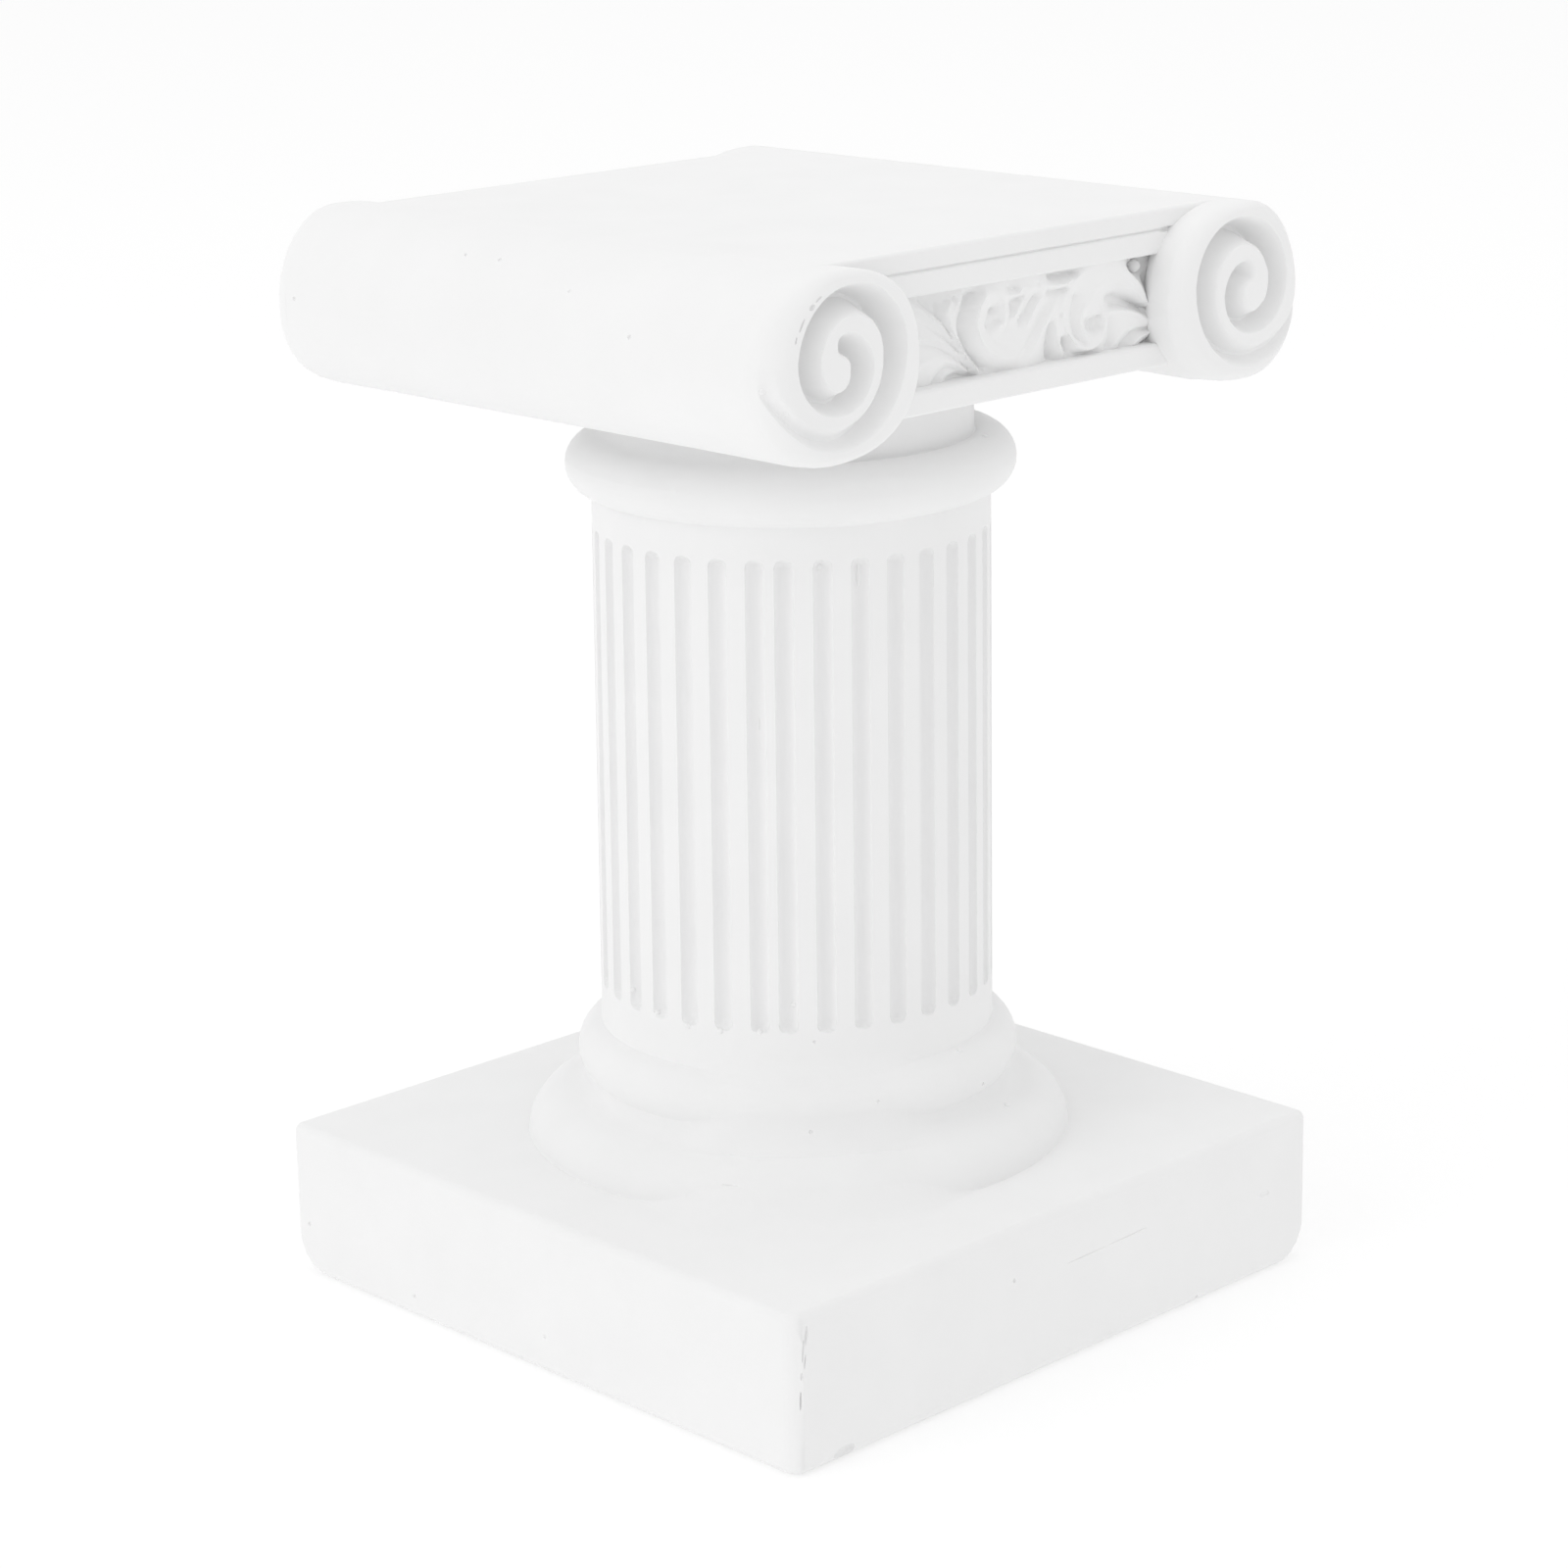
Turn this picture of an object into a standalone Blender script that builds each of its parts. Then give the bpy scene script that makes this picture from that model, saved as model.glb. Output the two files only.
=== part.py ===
# A small cast plaster column with a scroll capital, a fluted shaft and a square plinth.
# The whole thing is one casting, so every form is joined into one closed body, named "column".
# Metres, +Z up. The origin is at the middle of the underside. The volutes face -Y and +Y.
from math import atan2, copysign, cos, hypot, pi, radians, sin, sqrt

import bmesh
import bpy
from mathutils import Vector

MM = 0.001

# Plinth
PLINTH_SIDE = 100.0 * MM
PLINTH_HEIGHT = 21.8 * MM
PLINTH_CORNER_RADIUS = 1.2 * MM
PLINTH_FOOT_CORNER_RADIUS = 4.5 * MM
PLINTH_TOP_FILLET = 1.6 * MM
PLINTH_FOOT_FILLET = 2.6 * MM

# Round base: a flat quarter round on the plinth, a shallow hollow and a torus under the shaft
BASE_HEIGHT = 15.9 * MM
BASE_FOOT_RADIUS = 37.35 * MM
BASE_FOOT_SPREAD = 8.0 * MM
BASE_FOOT_RISE = 5.8 * MM
BASE_HOLLOW = 0.7 * MM
BASE_TORUS_RADIUS = 30.2 * MM
BASE_TORUS_TUBE = 4.2 * MM

# Shaft and its flutes, which are set out in two halves that meet at the mould's two seams
SHAFT_HEIGHT = 73.5 * MM
SHAFT_FOOT_RADIUS = 26.9 * MM
SHAFT_HEAD_RADIUS = 26.6 * MM
FLUTES_PER_HALF = 17
FLUTE_WIDTH = 2.9 * MM
FLUTE_DEPTH = 1.3 * MM
FLUTE_FOOT_BAND = 5.4 * MM
FLUTE_HEAD_BAND = 4.4 * MM
SEAM_LAND = 0.9 * MM
SEAM_AZIMUTH = radians(-50.7)

# Ring and neck under the capital
RING_RADIUS = 30.0 * MM
RING_TUBE = 3.9 * MM
RING_DISH = 0.6 * MM
NECK_RADIUS = 24.35 * MM
NECK_HEIGHT = 17.3 * MM

# Capital: a slab between two rolls. Its front has an abacus, a fascia, the frieze and a lower fascia
SLAB_HEIGHT = 20.4 * MM
SLAB_DEPTH = 85.0 * MM
SLAB_EDGE = 0.4 * MM
ABACUS_HEIGHT = 2.5 * MM
ABACUS_GROOVE = 0.35 * MM
UPPER_FASCIA_HEIGHT = 3.0 * MM
UPPER_FASCIA_SETBACK = 0.3 * MM
LOWER_FASCIA_HEIGHT = 3.3 * MM
FRIEZE_RECESS = 3.8 * MM

# Rolls and volutes. Reaches go from the volute's eye to its outer side, down, inward and up
EYE_SPACING = 76.0 * MM
EYE_DROP = 12.1 * MM
VOLUTE_PROJECTION = 5.1 * MM
ROLL_OUTER = 11.9 * MM
ROLL_BELOW = 11.7 * MM
ROLL_INNER = 10.2 * MM
ROLL_WAIST = 0.25 * MM
RIM_INNER = 14.6 * MM
RIM_FLANK = 13.8 * MM
FACE_OUTER = 7.0 * MM
FACE_BELOW = 9.4 * MM
FACE_INNER = 11.5 * MM
FACE_ABOVE = 9.9 * MM
SHOULDER_OUTER = 4.4 * MM
SHOULDER_INNER = 2.4 * MM
INNER_FULLNESS = 0.9
TOP_STEP = 0.03 * MM

# Spiral groove at each quarter turn, from the volute's outer side downwards: reach, width and depth
GROOVE_REACH = (11.8, 8.6, 9.1, 8.0, 5.1, 3.5, 3.7, 2.9, 1.8)
GROOVE_WIDTH = (1.2, 2.2, 3.6, 3.5, 3.1, 2.3, 3.2, 2.1, 0.7)
GROOVE_CUT = (0.5, 0.9, 2.2, 2.4, 2.0, 1.2, 2.4, 1.4, 0.3)
GROOVE_START = 0.2
GROOVE_FLOOR_SHARE = 0.5
GROOVE_STEPS = 4

# How finely round forms are divided, and how far joined forms run into each other
TURNED_SEGMENTS = 48
ROLL_SEGMENTS = 30
CORNER_SEGMENTS = 4
SEATING = 1.0 * MM

# Frieze carving: how far each band stands out of the recess, as a share of its depth, and its path.
# Points are (across, up, half width): across is a share of the frieze's half width, from its middle,
# up and the half width are shares of its height
CRUMPLED_LEAF = (
    (0.85, ((-0.24, 0.03, 0.04), (-0.31, 0.24, 0.06), (-0.39, 0.46, 0.08), (-0.44, 0.70, 0.09),
            (-0.39, 0.92, 0.05))),
    (0.80, ((-0.25, 0.03, 0.04), (-0.37, 0.24, 0.08), (-0.49, 0.45, 0.12), (-0.61, 0.66, 0.15),
            (-0.74, 0.88, 0.15))),
    (0.66, ((-0.26, 0.02, 0.04), (-0.38, 0.16, 0.06), (-0.51, 0.30, 0.08), (-0.66, 0.38, 0.10),
            (-0.86, 0.42, 0.12))),
    (0.58, ((-0.28, 0.00, 0.04), (-0.42, 0.10, 0.05), (-0.52, 0.15, 0.06), (-0.61, 0.09, 0.06),
            (-0.65, -0.04, 0.06))),
)
LEFT_SCROLL = (
    (0.90, ((0.26, 0.78, 0.06), (0.19, 0.50, 0.10), (0.08, 0.27, 0.15), (-0.06, 0.20, 0.16),
            (-0.18, 0.31, 0.12), (-0.24, 0.55, 0.09), (-0.19, 0.80, 0.07), (-0.10, 0.81, 0.06),
            (-0.07, 0.62, 0.05), (-0.11, 0.50, 0.04))),
)
PETALS = (
    (0.75, ((-0.10, 0.88, 0.06), (-0.01, 0.86, 0.08), (0.05, 0.90, 0.02))),
    (0.75, ((0.06, 0.90, 0.06), (0.11, 0.87, 0.08), (0.17, 0.90, 0.02))),
    (0.75, ((0.18, 0.92, 0.06), (0.27, 0.84, 0.08), (0.37, 0.88, 0.04))),
    (0.80, ((0.07, 0.80, 0.04), (0.03, 0.64, 0.04), (-0.02, 0.56, 0.02))),
    (0.80, ((0.19, 0.76, 0.05), (0.13, 0.62, 0.05), (0.09, 0.50, 0.02))),
)
STEM = (
    (0.70, ((0.28, 0.58, 0.04), (0.26, 0.40, 0.04), (0.29, 0.18, 0.04), (0.35, -0.04, 0.04))),
)
RIGHT_SCROLL = (
    (0.90, ((0.38, 0.86, 0.08), (0.36, 0.58, 0.08), (0.40, 0.28, 0.09), (0.49, 0.12, 0.08),
            (0.58, 0.20, 0.06), (0.60, 0.40, 0.06), (0.54, 0.57, 0.06), (0.47, 0.47, 0.05),
            (0.47, 0.33, 0.04))),
)
ARCHED_LEAVES = (
    (0.95, ((0.42, 0.72, 0.10), (0.53, 0.85, 0.12), (0.66, 0.86, 0.12), (0.78, 0.73, 0.11),
            (0.90, 0.42, 0.06))),
    (0.85, ((0.62, 0.16, 0.10), (0.73, 0.28, 0.12), (0.85, 0.26, 0.10), (0.98, 0.12, 0.04))),
    (0.70, ((0.73, -0.04, 0.05), (0.80, 0.08, 0.05), (0.89, 0.11, 0.04), (0.97, 0.06, 0.03))),
)
FRIEZE_BANDS = CRUMPLED_LEAF + LEFT_SCROLL + PETALS + STEM + RIGHT_SCROLL + ARCHED_LEAVES
BAND_CREST_SHARE = 0.35

# Levels and places that follow from the sizes above
SHAFT_FOOT_LEVEL = PLINTH_HEIGHT + BASE_HEIGHT
SHAFT_HEAD_LEVEL = SHAFT_FOOT_LEVEL + SHAFT_HEIGHT
SLAB_FOOT_LEVEL = SHAFT_HEAD_LEVEL + NECK_HEIGHT
TOP_LEVEL = SLAB_FOOT_LEVEL + SLAB_HEIGHT
EYE_LEVEL = TOP_LEVEL - EYE_DROP
SLAB_FRONT = SLAB_DEPTH / 2
VOLUTE_FACE = SLAB_FRONT + VOLUTE_PROJECTION
ABACUS_FOOT_LEVEL = TOP_LEVEL - ABACUS_HEIGHT
UPPER_FASCIA_TOP_LEVEL = ABACUS_FOOT_LEVEL - ABACUS_GROOVE
FRIEZE_TOP_LEVEL = UPPER_FASCIA_TOP_LEVEL - UPPER_FASCIA_HEIGHT
FRIEZE_FOOT_LEVEL = SLAB_FOOT_LEVEL + LOWER_FASCIA_HEIGHT
FRIEZE_HEIGHT = FRIEZE_TOP_LEVEL - FRIEZE_FOOT_LEVEL
FRIEZE_GROUND = SLAB_FRONT - FRIEZE_RECESS
FRIEZE_HALF_WIDTH = EYE_SPACING / 2 - ROLL_INNER
RIM_REACHES = (ROLL_OUTER, ROLL_BELOW, RIM_INNER, EYE_DROP - TOP_STEP)
FACE_REACHES = (FACE_OUTER, FACE_BELOW, FACE_INNER, FACE_ABOVE)


def clear_scene():
    for old in list(bpy.data.objects):
        bpy.data.objects.remove(old, do_unlink=True)


def cast_plaster():
    material = bpy.data.materials.new("cast plaster")
    material.use_nodes = True
    shader = material.node_tree.nodes["Principled BSDF"]
    shader.inputs["Base Color"].default_value = (0.87, 0.87, 0.86, 1.0)
    shader.inputs["Roughness"].default_value = 0.75
    shader.inputs["Metallic"].default_value = 0.0
    return material


def form_collection(name):
    collection = bpy.data.collections.new(name)
    bpy.context.scene.collection.children.link(collection)
    return collection


def solid_through_rings(name, rings, collection):
    """A closed solid that runs through rings of points, with a flat cap at each end."""
    mesh = bmesh.new()
    loops = [[mesh.verts.new(point) for point in ring] for ring in rings]
    for lower, upper in zip(loops, loops[1:]):
        for i in range(len(lower)):
            j = (i + 1) % len(lower)
            mesh.faces.new((lower[i], lower[j], upper[j], upper[i]))
    mesh.faces.new(loops[0][::-1])
    mesh.faces.new(loops[-1])
    bmesh.ops.recalc_face_normals(mesh, faces=mesh.faces)
    data = bpy.data.meshes.new(name)
    mesh.to_mesh(data)
    mesh.free()
    data.shade_smooth()
    data.set_sharp_from_angle(angle=radians(32))
    solid = bpy.data.objects.new(name, data)
    solid.hide_render = True
    solid.display_type = "WIRE"
    collection.objects.link(solid)
    return solid


def arc(middle, across, upward, start, stop, steps):
    """Points on an elliptic arc of a turned profile, as (radius, level); angles in degrees."""
    angles = [radians(start + (stop - start) * i / steps) for i in range(steps + 1)]
    return [(middle[0] + across * cos(a), middle[1] + upward * sin(a)) for a in angles]


def hollow(start, end, depth, steps):
    """Points between two profile points, on a curve that sinks towards the axis by depth."""
    out, rise = end[0] - start[0], end[1] - start[1]
    points = []
    for i in range(1, steps):
        share = i / steps
        sink = depth * 4 * share * (1 - share) / hypot(out, rise)
        points.append((start[0] + out * share - rise * sink, start[1] + rise * share + out * sink))
    return points


def turned(name, profile, collection):
    angles = [2 * pi * i / TURNED_SEGMENTS for i in range(TURNED_SEGMENTS)]
    rings = [[(radius * cos(a), radius * sin(a), level) for a in angles] for radius, level in profile]
    return solid_through_rings(name, rings, collection)


def rounded_square(side, corner, level):
    points = []
    for quarter in range(4):
        diagonal = (quarter + 0.5) * pi / 2
        center = (side / 2 - corner) * sqrt(2)
        for i in range(CORNER_SEGMENTS + 1):
            a = (quarter + i / CORNER_SEGMENTS) * pi / 2
            points.append((center * cos(diagonal) + corner * cos(a),
                           center * sin(diagonal) + corner * sin(a), level))
    return points


def build_plinth(collection):
    rings = []
    for fillet, bottom in ((PLINTH_FOOT_FILLET, True), (PLINTH_TOP_FILLET, False)):
        for turn in (0, 30, 60, 90):
            inset = fillet * (1 - (sin(radians(turn)) if bottom else cos(radians(turn))))
            drop = fillet * (1 - (cos(radians(turn)) if bottom else sin(radians(turn))))
            level = drop if bottom else PLINTH_HEIGHT - drop
            corner = max(PLINTH_CORNER_RADIUS - inset, PLINTH_CORNER_RADIUS / 3)
            if bottom:
                spread = PLINTH_FOOT_CORNER_RADIUS - PLINTH_CORNER_RADIUS
                corner = PLINTH_CORNER_RADIUS + spread * inset / fillet
            rings.append(rounded_square(PLINTH_SIDE - 2 * inset, corner, level))
    return solid_through_rings("plinth form", rings, collection)


def build_base(collection):
    foot_middle = (BASE_FOOT_RADIUS - BASE_FOOT_SPREAD, PLINTH_HEIGHT)
    foot = arc(foot_middle, BASE_FOOT_SPREAD, BASE_FOOT_RISE, 0, 76, 5)
    tube_middle = (BASE_TORUS_RADIUS - BASE_TORUS_TUBE, SHAFT_FOOT_LEVEL - BASE_TORUS_TUBE)
    torus = arc(tube_middle, BASE_TORUS_TUBE, BASE_TORUS_TUBE, -45, 90, 6)
    seat = (tube_middle[0] - BASE_TORUS_TUBE / 2, SHAFT_FOOT_LEVEL - BASE_TORUS_TUBE / 8)
    profile = [(BASE_FOOT_RADIUS, PLINTH_HEIGHT - SEATING)] + foot
    profile += hollow(foot[-1], torus[0], BASE_HOLLOW, 3) + torus + [seat]
    turned("base form", profile, collection)


def build_ring_and_neck(collection):
    middle = (RING_RADIUS - RING_TUBE, SHAFT_HEAD_LEVEL + RING_TUBE)
    ring = arc(middle, RING_TUBE, RING_TUBE, -90, 90, 8)
    foot = (middle[0] - RING_TUBE / 2, SHAFT_HEAD_LEVEL + RING_TUBE / 8)
    dish = (middle[0] - RING_TUBE, SHAFT_HEAD_LEVEL + 2 * RING_TUBE - RING_DISH)
    turned("ring form", [foot] + ring + [dish], collection)
    levels = (SHAFT_HEAD_LEVEL, SLAB_FOOT_LEVEL + SEATING)
    turned("neck form", [(NECK_RADIUS, level) for level in levels], collection)


def flute_azimuths():
    """The middle of every flute. Each half is spaced evenly from one seam to the other."""
    half_gap = (SEAM_LAND + FLUTE_WIDTH) / 2 / SHAFT_FOOT_RADIUS
    pitch = (pi - 2 * half_gap) / (FLUTES_PER_HALF - 1)
    starts = (SEAM_AZIMUTH + half_gap, SEAM_AZIMUTH + half_gap + pi)
    return [start + i * pitch for start in starts for i in range(FLUTES_PER_HALF)]


def shaft_ring(level, opening, depth):
    """The shaft's outline at a level, with its flutes open by these shares of their width and depth."""
    rise = (level - SHAFT_FOOT_LEVEL) / SHAFT_HEIGHT
    radius = SHAFT_FOOT_RADIUS + (SHAFT_HEAD_RADIUS - SHAFT_FOOT_RADIUS) * rise
    points = []
    for middle in flute_azimuths():
        for across, down in ((-0.5, 0), (-0.28, 1), (0.28, 1), (0.5, 0)):
            azimuth = middle + across * opening * FLUTE_WIDTH / SHAFT_FOOT_RADIUS
            reach = radius - down * depth * FLUTE_DEPTH
            points.append((reach * sin(azimuth), -reach * cos(azimuth), level))
    return points


def build_shaft(collection):
    foot = SHAFT_FOOT_LEVEL + FLUTE_FOOT_BAND
    head = SHAFT_HEAD_LEVEL - FLUTE_HEAD_BAND
    round_end = FLUTE_WIDTH / 2
    stations = ((SHAFT_FOOT_LEVEL - SEATING, 1, 0), (foot, 0.4, 0), (foot + 0.2 * round_end, 0.6, 0.6),
                (foot + round_end, 1, 1), (head - round_end, 1, 1), (head - 0.2 * round_end, 0.6, 0.6),
                (head, 0.4, 0), (SHAFT_HEAD_LEVEL + SEATING, 1, 0))
    rings = [shaft_ring(level, opening, depth) for level, opening, depth in stations]
    solid_through_rings("shaft form", rings, collection)


def build_slab(collection):
    """The slab runs from eye to eye, with its ends inside the rolls."""
    fascia = SLAB_FRONT - UPPER_FASCIA_SETBACK
    front = [(SLAB_FRONT - SLAB_EDGE, SLAB_FOOT_LEVEL), (SLAB_FRONT, SLAB_FOOT_LEVEL + SLAB_EDGE),
             (SLAB_FRONT, FRIEZE_FOOT_LEVEL), (FRIEZE_GROUND, FRIEZE_FOOT_LEVEL),
             (FRIEZE_GROUND, FRIEZE_TOP_LEVEL), (fascia, FRIEZE_TOP_LEVEL),
             (fascia, UPPER_FASCIA_TOP_LEVEL), (fascia - ABACUS_GROOVE, ABACUS_FOOT_LEVEL),
             (SLAB_FRONT, ABACUS_FOOT_LEVEL), (SLAB_FRONT, TOP_LEVEL - SLAB_EDGE),
             (SLAB_FRONT - SLAB_EDGE, TOP_LEVEL)]
    section = [(-out, level) for out, level in front] + front[::-1]
    end = EYE_SPACING / 2
    rings = [[(x, y, level) for y, level in section] for x in (-end, end)]
    solid_through_rings("slab form", rings, collection)


def outline_point(reaches, angle):
    """A point of a volute's outline as (inward, up) from its eye. Angle 0 is the outer side, 90 below."""
    outer, below, inner, above = reaches
    c, s = cos(angle), sin(angle)
    across = outer if c > 0 else inner
    down = below if s > 0 else above
    fullness = 1.0 if c > 0 else INNER_FULLNESS
    return -copysign(abs(c) ** fullness, c) * across, -copysign(abs(s) ** fullness, s) * down


def shoulder_depth(angle):
    """How far behind its face a volute reaches its full width."""
    return SHOULDER_INNER + (SHOULDER_OUTER - SHOULDER_INNER) * (1 + cos(angle)) / 2


def blend(first, second, share):
    return tuple(a + (b - a) * share for a, b in zip(first, second))


def roll_stations():
    """From the roll's middle to a volute's face: distance out, share of the shoulder, reaches."""
    waist = (ROLL_OUTER - ROLL_WAIST, ROLL_BELOW - ROLL_WAIST, ROLL_INNER, EYE_DROP - TOP_STEP)
    flank = (ROLL_OUTER, ROLL_BELOW, RIM_FLANK, EYE_DROP - TOP_STEP)
    stations = [(0.0, 0.0, waist), (FRIEZE_GROUND - SEATING, 0.0, blend(waist, flank, 0.1)),
                ((FRIEZE_GROUND + SLAB_FRONT) / 2, 0.0, blend(waist, flank, 0.75)),
                (SLAB_FRONT, 0.0, flank)]
    for turn in (90, 60, 30, 0):
        reaches = blend(FACE_REACHES, RIM_REACHES, sin(radians(turn)))
        stations.append((VOLUTE_FACE, 1 - cos(radians(turn)), reaches))
    return stations


def at_volute(side, end, inward, up, out):
    """A place by a volute: side is -1 or 1 along X, end is -1 or 1 along Y."""
    return side * (EYE_SPACING / 2 - inward), end * out, EYE_LEVEL + up


def build_roll(name, side, collection):
    half = []
    for out, shoulder, reaches in roll_stations():
        angles = [2 * pi * i / ROLL_SEGMENTS for i in range(ROLL_SEGMENTS)]
        half.append([(outline_point(reaches, a), out - shoulder * shoulder_depth(a)) for a in angles])
    rings = [[at_volute(side, -1, *point, out) for point, out in ring] for ring in reversed(half)]
    rings += [[at_volute(side, 1, *point, out) for point, out in ring] for ring in half[1:]]
    return solid_through_rings(name, rings, collection)


def toward(turn):
    """The direction from the eye after some quarter turns, as (inward, up)."""
    return Vector((-cos(turn * pi / 2), -sin(turn * pi / 2)))


def spiral():
    """The groove's middle line: quarter arcs that run into each other and touch the groove's reaches."""
    reach = [value * MM for value in GROOVE_REACH]
    radius = reach[0]
    center = Vector((0.0, reach[0] - reach[1]))
    points = []
    for quarter in range(len(reach) - 1):
        if quarter:
            next_radius = reach[quarter + 1] - center.dot(toward(quarter + 1))
            center = center + (radius - next_radius) * toward(quarter)
            radius = next_radius
        for i in range(GROOVE_STEPS):
            turn = quarter + i / GROOVE_STEPS
            points.append((center + radius * toward(turn), turn))
    return [(place, turn) for place, turn in points if turn >= GROOVE_START]


def at_turn(values, turn):
    """A value that is listed for each quarter turn, in metres."""
    before = int(turn)
    share = turn - before
    return (values[before] * (1 - share) + values[before + 1] * share) * MM


def surface_drop(place):
    """How far behind the volute's face its surface is at a place, because of the shoulder."""
    angle = atan2(-place.y / ROLL_BELOW, -place.x / ROLL_OUTER)
    face, rim = hypot(*outline_point(FACE_REACHES, angle)), hypot(*outline_point(RIM_REACHES, angle))
    share = min(max((place.length - face) / (rim - face), 0.0), 1.0)
    return shoulder_depth(angle) * (1 - sqrt(1 - share * share))


def cut_groove(roll, side, end, collection):
    points = spiral()
    rings = []
    for i, (place, turn) in enumerate(points):
        ahead = points[min(i + 1, len(points) - 1)][0] - points[max(i - 1, 0)][0]
        across = Vector((-ahead.y, ahead.x)).normalized() * at_turn(GROOVE_WIDTH, turn) / 2
        surface = VOLUTE_FACE - surface_drop(place)
        floor = surface - at_turn(GROOVE_CUT, turn)
        corners = ((-1, surface + SEATING), (1, surface + SEATING),
                   (GROOVE_FLOOR_SHARE, floor), (-GROOVE_FLOOR_SHARE, floor))
        rings.append([at_volute(side, end, *(place + across * share), out) for share, out in corners])
    cutter = solid_through_rings("groove cutter", rings, collection)
    cut = roll.modifiers.new("groove", "BOOLEAN")
    cut.operation = "DIFFERENCE"
    cut.solver = "EXACT"
    cut.object = cutter


def build_band(height, path, turned_round, collection):
    """One raised band of the frieze's carving. The back's carving is the front's, turned half round."""
    places = [Vector((across * FRIEZE_HALF_WIDTH, FRIEZE_FOOT_LEVEL + up * FRIEZE_HEIGHT))
              for across, up, _ in path]
    crest = FRIEZE_GROUND + height * FRIEZE_RECESS
    foot = FRIEZE_GROUND - SEATING
    rings = []
    for i, place in enumerate(places):
        along = places[min(i + 1, len(places) - 1)] - places[max(i - 1, 0)]
        across = Vector((-along.y, along.x)).normalized() * path[i][2] * FRIEZE_HEIGHT
        ring = []
        for share, out in ((-1, foot), (1, foot), (BAND_CREST_SHARE, crest), (-BAND_CREST_SHARE, crest)):
            spot = place + across * share
            ring.append((turned_round * spot.x, -turned_round * out, spot.y))
        rings.append(ring)
    solid_through_rings("frieze band", rings, collection)


def build_column():
    forms = form_collection("forms")
    cutters = form_collection("cutters")
    plinth = build_plinth(form_collection("plinth"))
    build_base(forms)
    build_shaft(forms)
    build_ring_and_neck(forms)
    build_slab(forms)
    for name, side in (("left roll form", -1), ("right roll form", 1)):
        roll = build_roll(name, side, forms)
        for end in (-1, 1):
            cut_groove(roll, side, end, cutters)
    for turned_round in (1, -1):
        for height, path in FRIEZE_BANDS:
            build_band(height, path, turned_round, forms)
    plinth.name = "column"
    plinth.hide_render = False
    plinth.display_type = "TEXTURED"
    plinth.data.materials.append(cast_plaster())
    join = plinth.modifiers.new("one casting", "BOOLEAN")
    join.operation = "UNION"
    join.solver = "EXACT"
    join.operand_type = "COLLECTION"
    join.collection = forms


clear_scene()
build_column()
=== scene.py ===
# Small white plaster column: the looks of the casting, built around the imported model.
from math import atan2, cos, degrees, hypot, pi, radians, sin, sqrt

import bpy
import numpy as np
from mathutils import Matrix, Vector
from mathutils.bvhtree import BVHTree


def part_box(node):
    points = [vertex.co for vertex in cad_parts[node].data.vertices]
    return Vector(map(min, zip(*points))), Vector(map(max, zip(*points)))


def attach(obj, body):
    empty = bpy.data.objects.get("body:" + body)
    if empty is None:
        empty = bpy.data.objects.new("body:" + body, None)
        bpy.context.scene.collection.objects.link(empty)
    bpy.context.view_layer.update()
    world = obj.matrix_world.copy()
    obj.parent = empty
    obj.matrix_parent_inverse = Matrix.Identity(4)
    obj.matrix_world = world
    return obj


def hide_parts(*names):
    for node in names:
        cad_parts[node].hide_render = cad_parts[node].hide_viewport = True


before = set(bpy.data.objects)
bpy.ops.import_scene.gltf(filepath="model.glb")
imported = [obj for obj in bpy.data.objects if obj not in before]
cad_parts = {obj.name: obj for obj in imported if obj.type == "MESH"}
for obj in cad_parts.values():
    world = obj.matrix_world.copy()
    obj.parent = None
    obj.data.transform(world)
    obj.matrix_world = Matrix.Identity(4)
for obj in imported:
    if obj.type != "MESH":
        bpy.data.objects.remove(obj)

print("column: frame loaded")
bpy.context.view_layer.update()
columnLow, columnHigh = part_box("column")
mm = 0.001
topLevel = columnHigh.z / mm
plinthSide = (columnHigh.x - columnLow.x) / mm


# Camera: found from the plinth's corners, the ends of the flutes and the capital's outline
photoView = {
    "azimuth": -44.19,      # degrees from the carved front
    "elevation": 15.91,
    "roll": -1.0,
    "distance": 555.9,      # mm from the point looked at
    "lookAt": 69.8,         # mm above the floor
    "lens": 93.93,          # mm
    "sensor": 36,           # mm
    "shift": -0.0056,       # the photo's middle lies this share of its width off the lens's axis
    "pixels": 1600,         # the photo's width and height
}


def makeCamera():
    azimuth, elevation = radians(photoView["azimuth"]), radians(photoView["elevation"])
    back = Vector((sin(azimuth) * cos(elevation), -cos(azimuth) * cos(elevation), sin(elevation)))
    right = Vector((0, 0, 1)).cross(back).normalized()
    up = back.cross(right)
    turn = Matrix((right, up, back)).transposed() @ Matrix.Rotation(radians(photoView["roll"]), 3, "Z")
    data = bpy.data.cameras.new("photoCamera")
    data.lens = photoView["lens"]
    data.sensor_width = photoView["sensor"]
    data.shift_x = photoView["shift"]
    data.clip_start = 0.01
    camera = bpy.data.objects.new("photoCamera", data)
    place = Vector((0, 0, photoView["lookAt"] * mm)) + back * photoView["distance"] * mm
    camera.matrix_world = Matrix.Translation(place) @ turn.to_4x4()
    bpy.context.collection.objects.link(camera)
    bpy.context.scene.camera = camera
    return camera


camera = makeCamera()
print("column: camera set")


def sightLine(across, down):
    # From the camera through a place of the photo, in px from the photo's top left corner
    reach = photoView["sensor"] / photoView["lens"]
    right = (across / photoView["pixels"] - 0.5 + photoView["shift"]) * reach
    below = (down / photoView["pixels"] - 0.5) * reach
    return camera.matrix_world.translation, camera.matrix_world.to_3x3() @ Vector((right, -below, -1))


# Small tools for modelling by hand
def pickNothing():
    bpy.ops.object.select_all(action="DESELECT")


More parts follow.
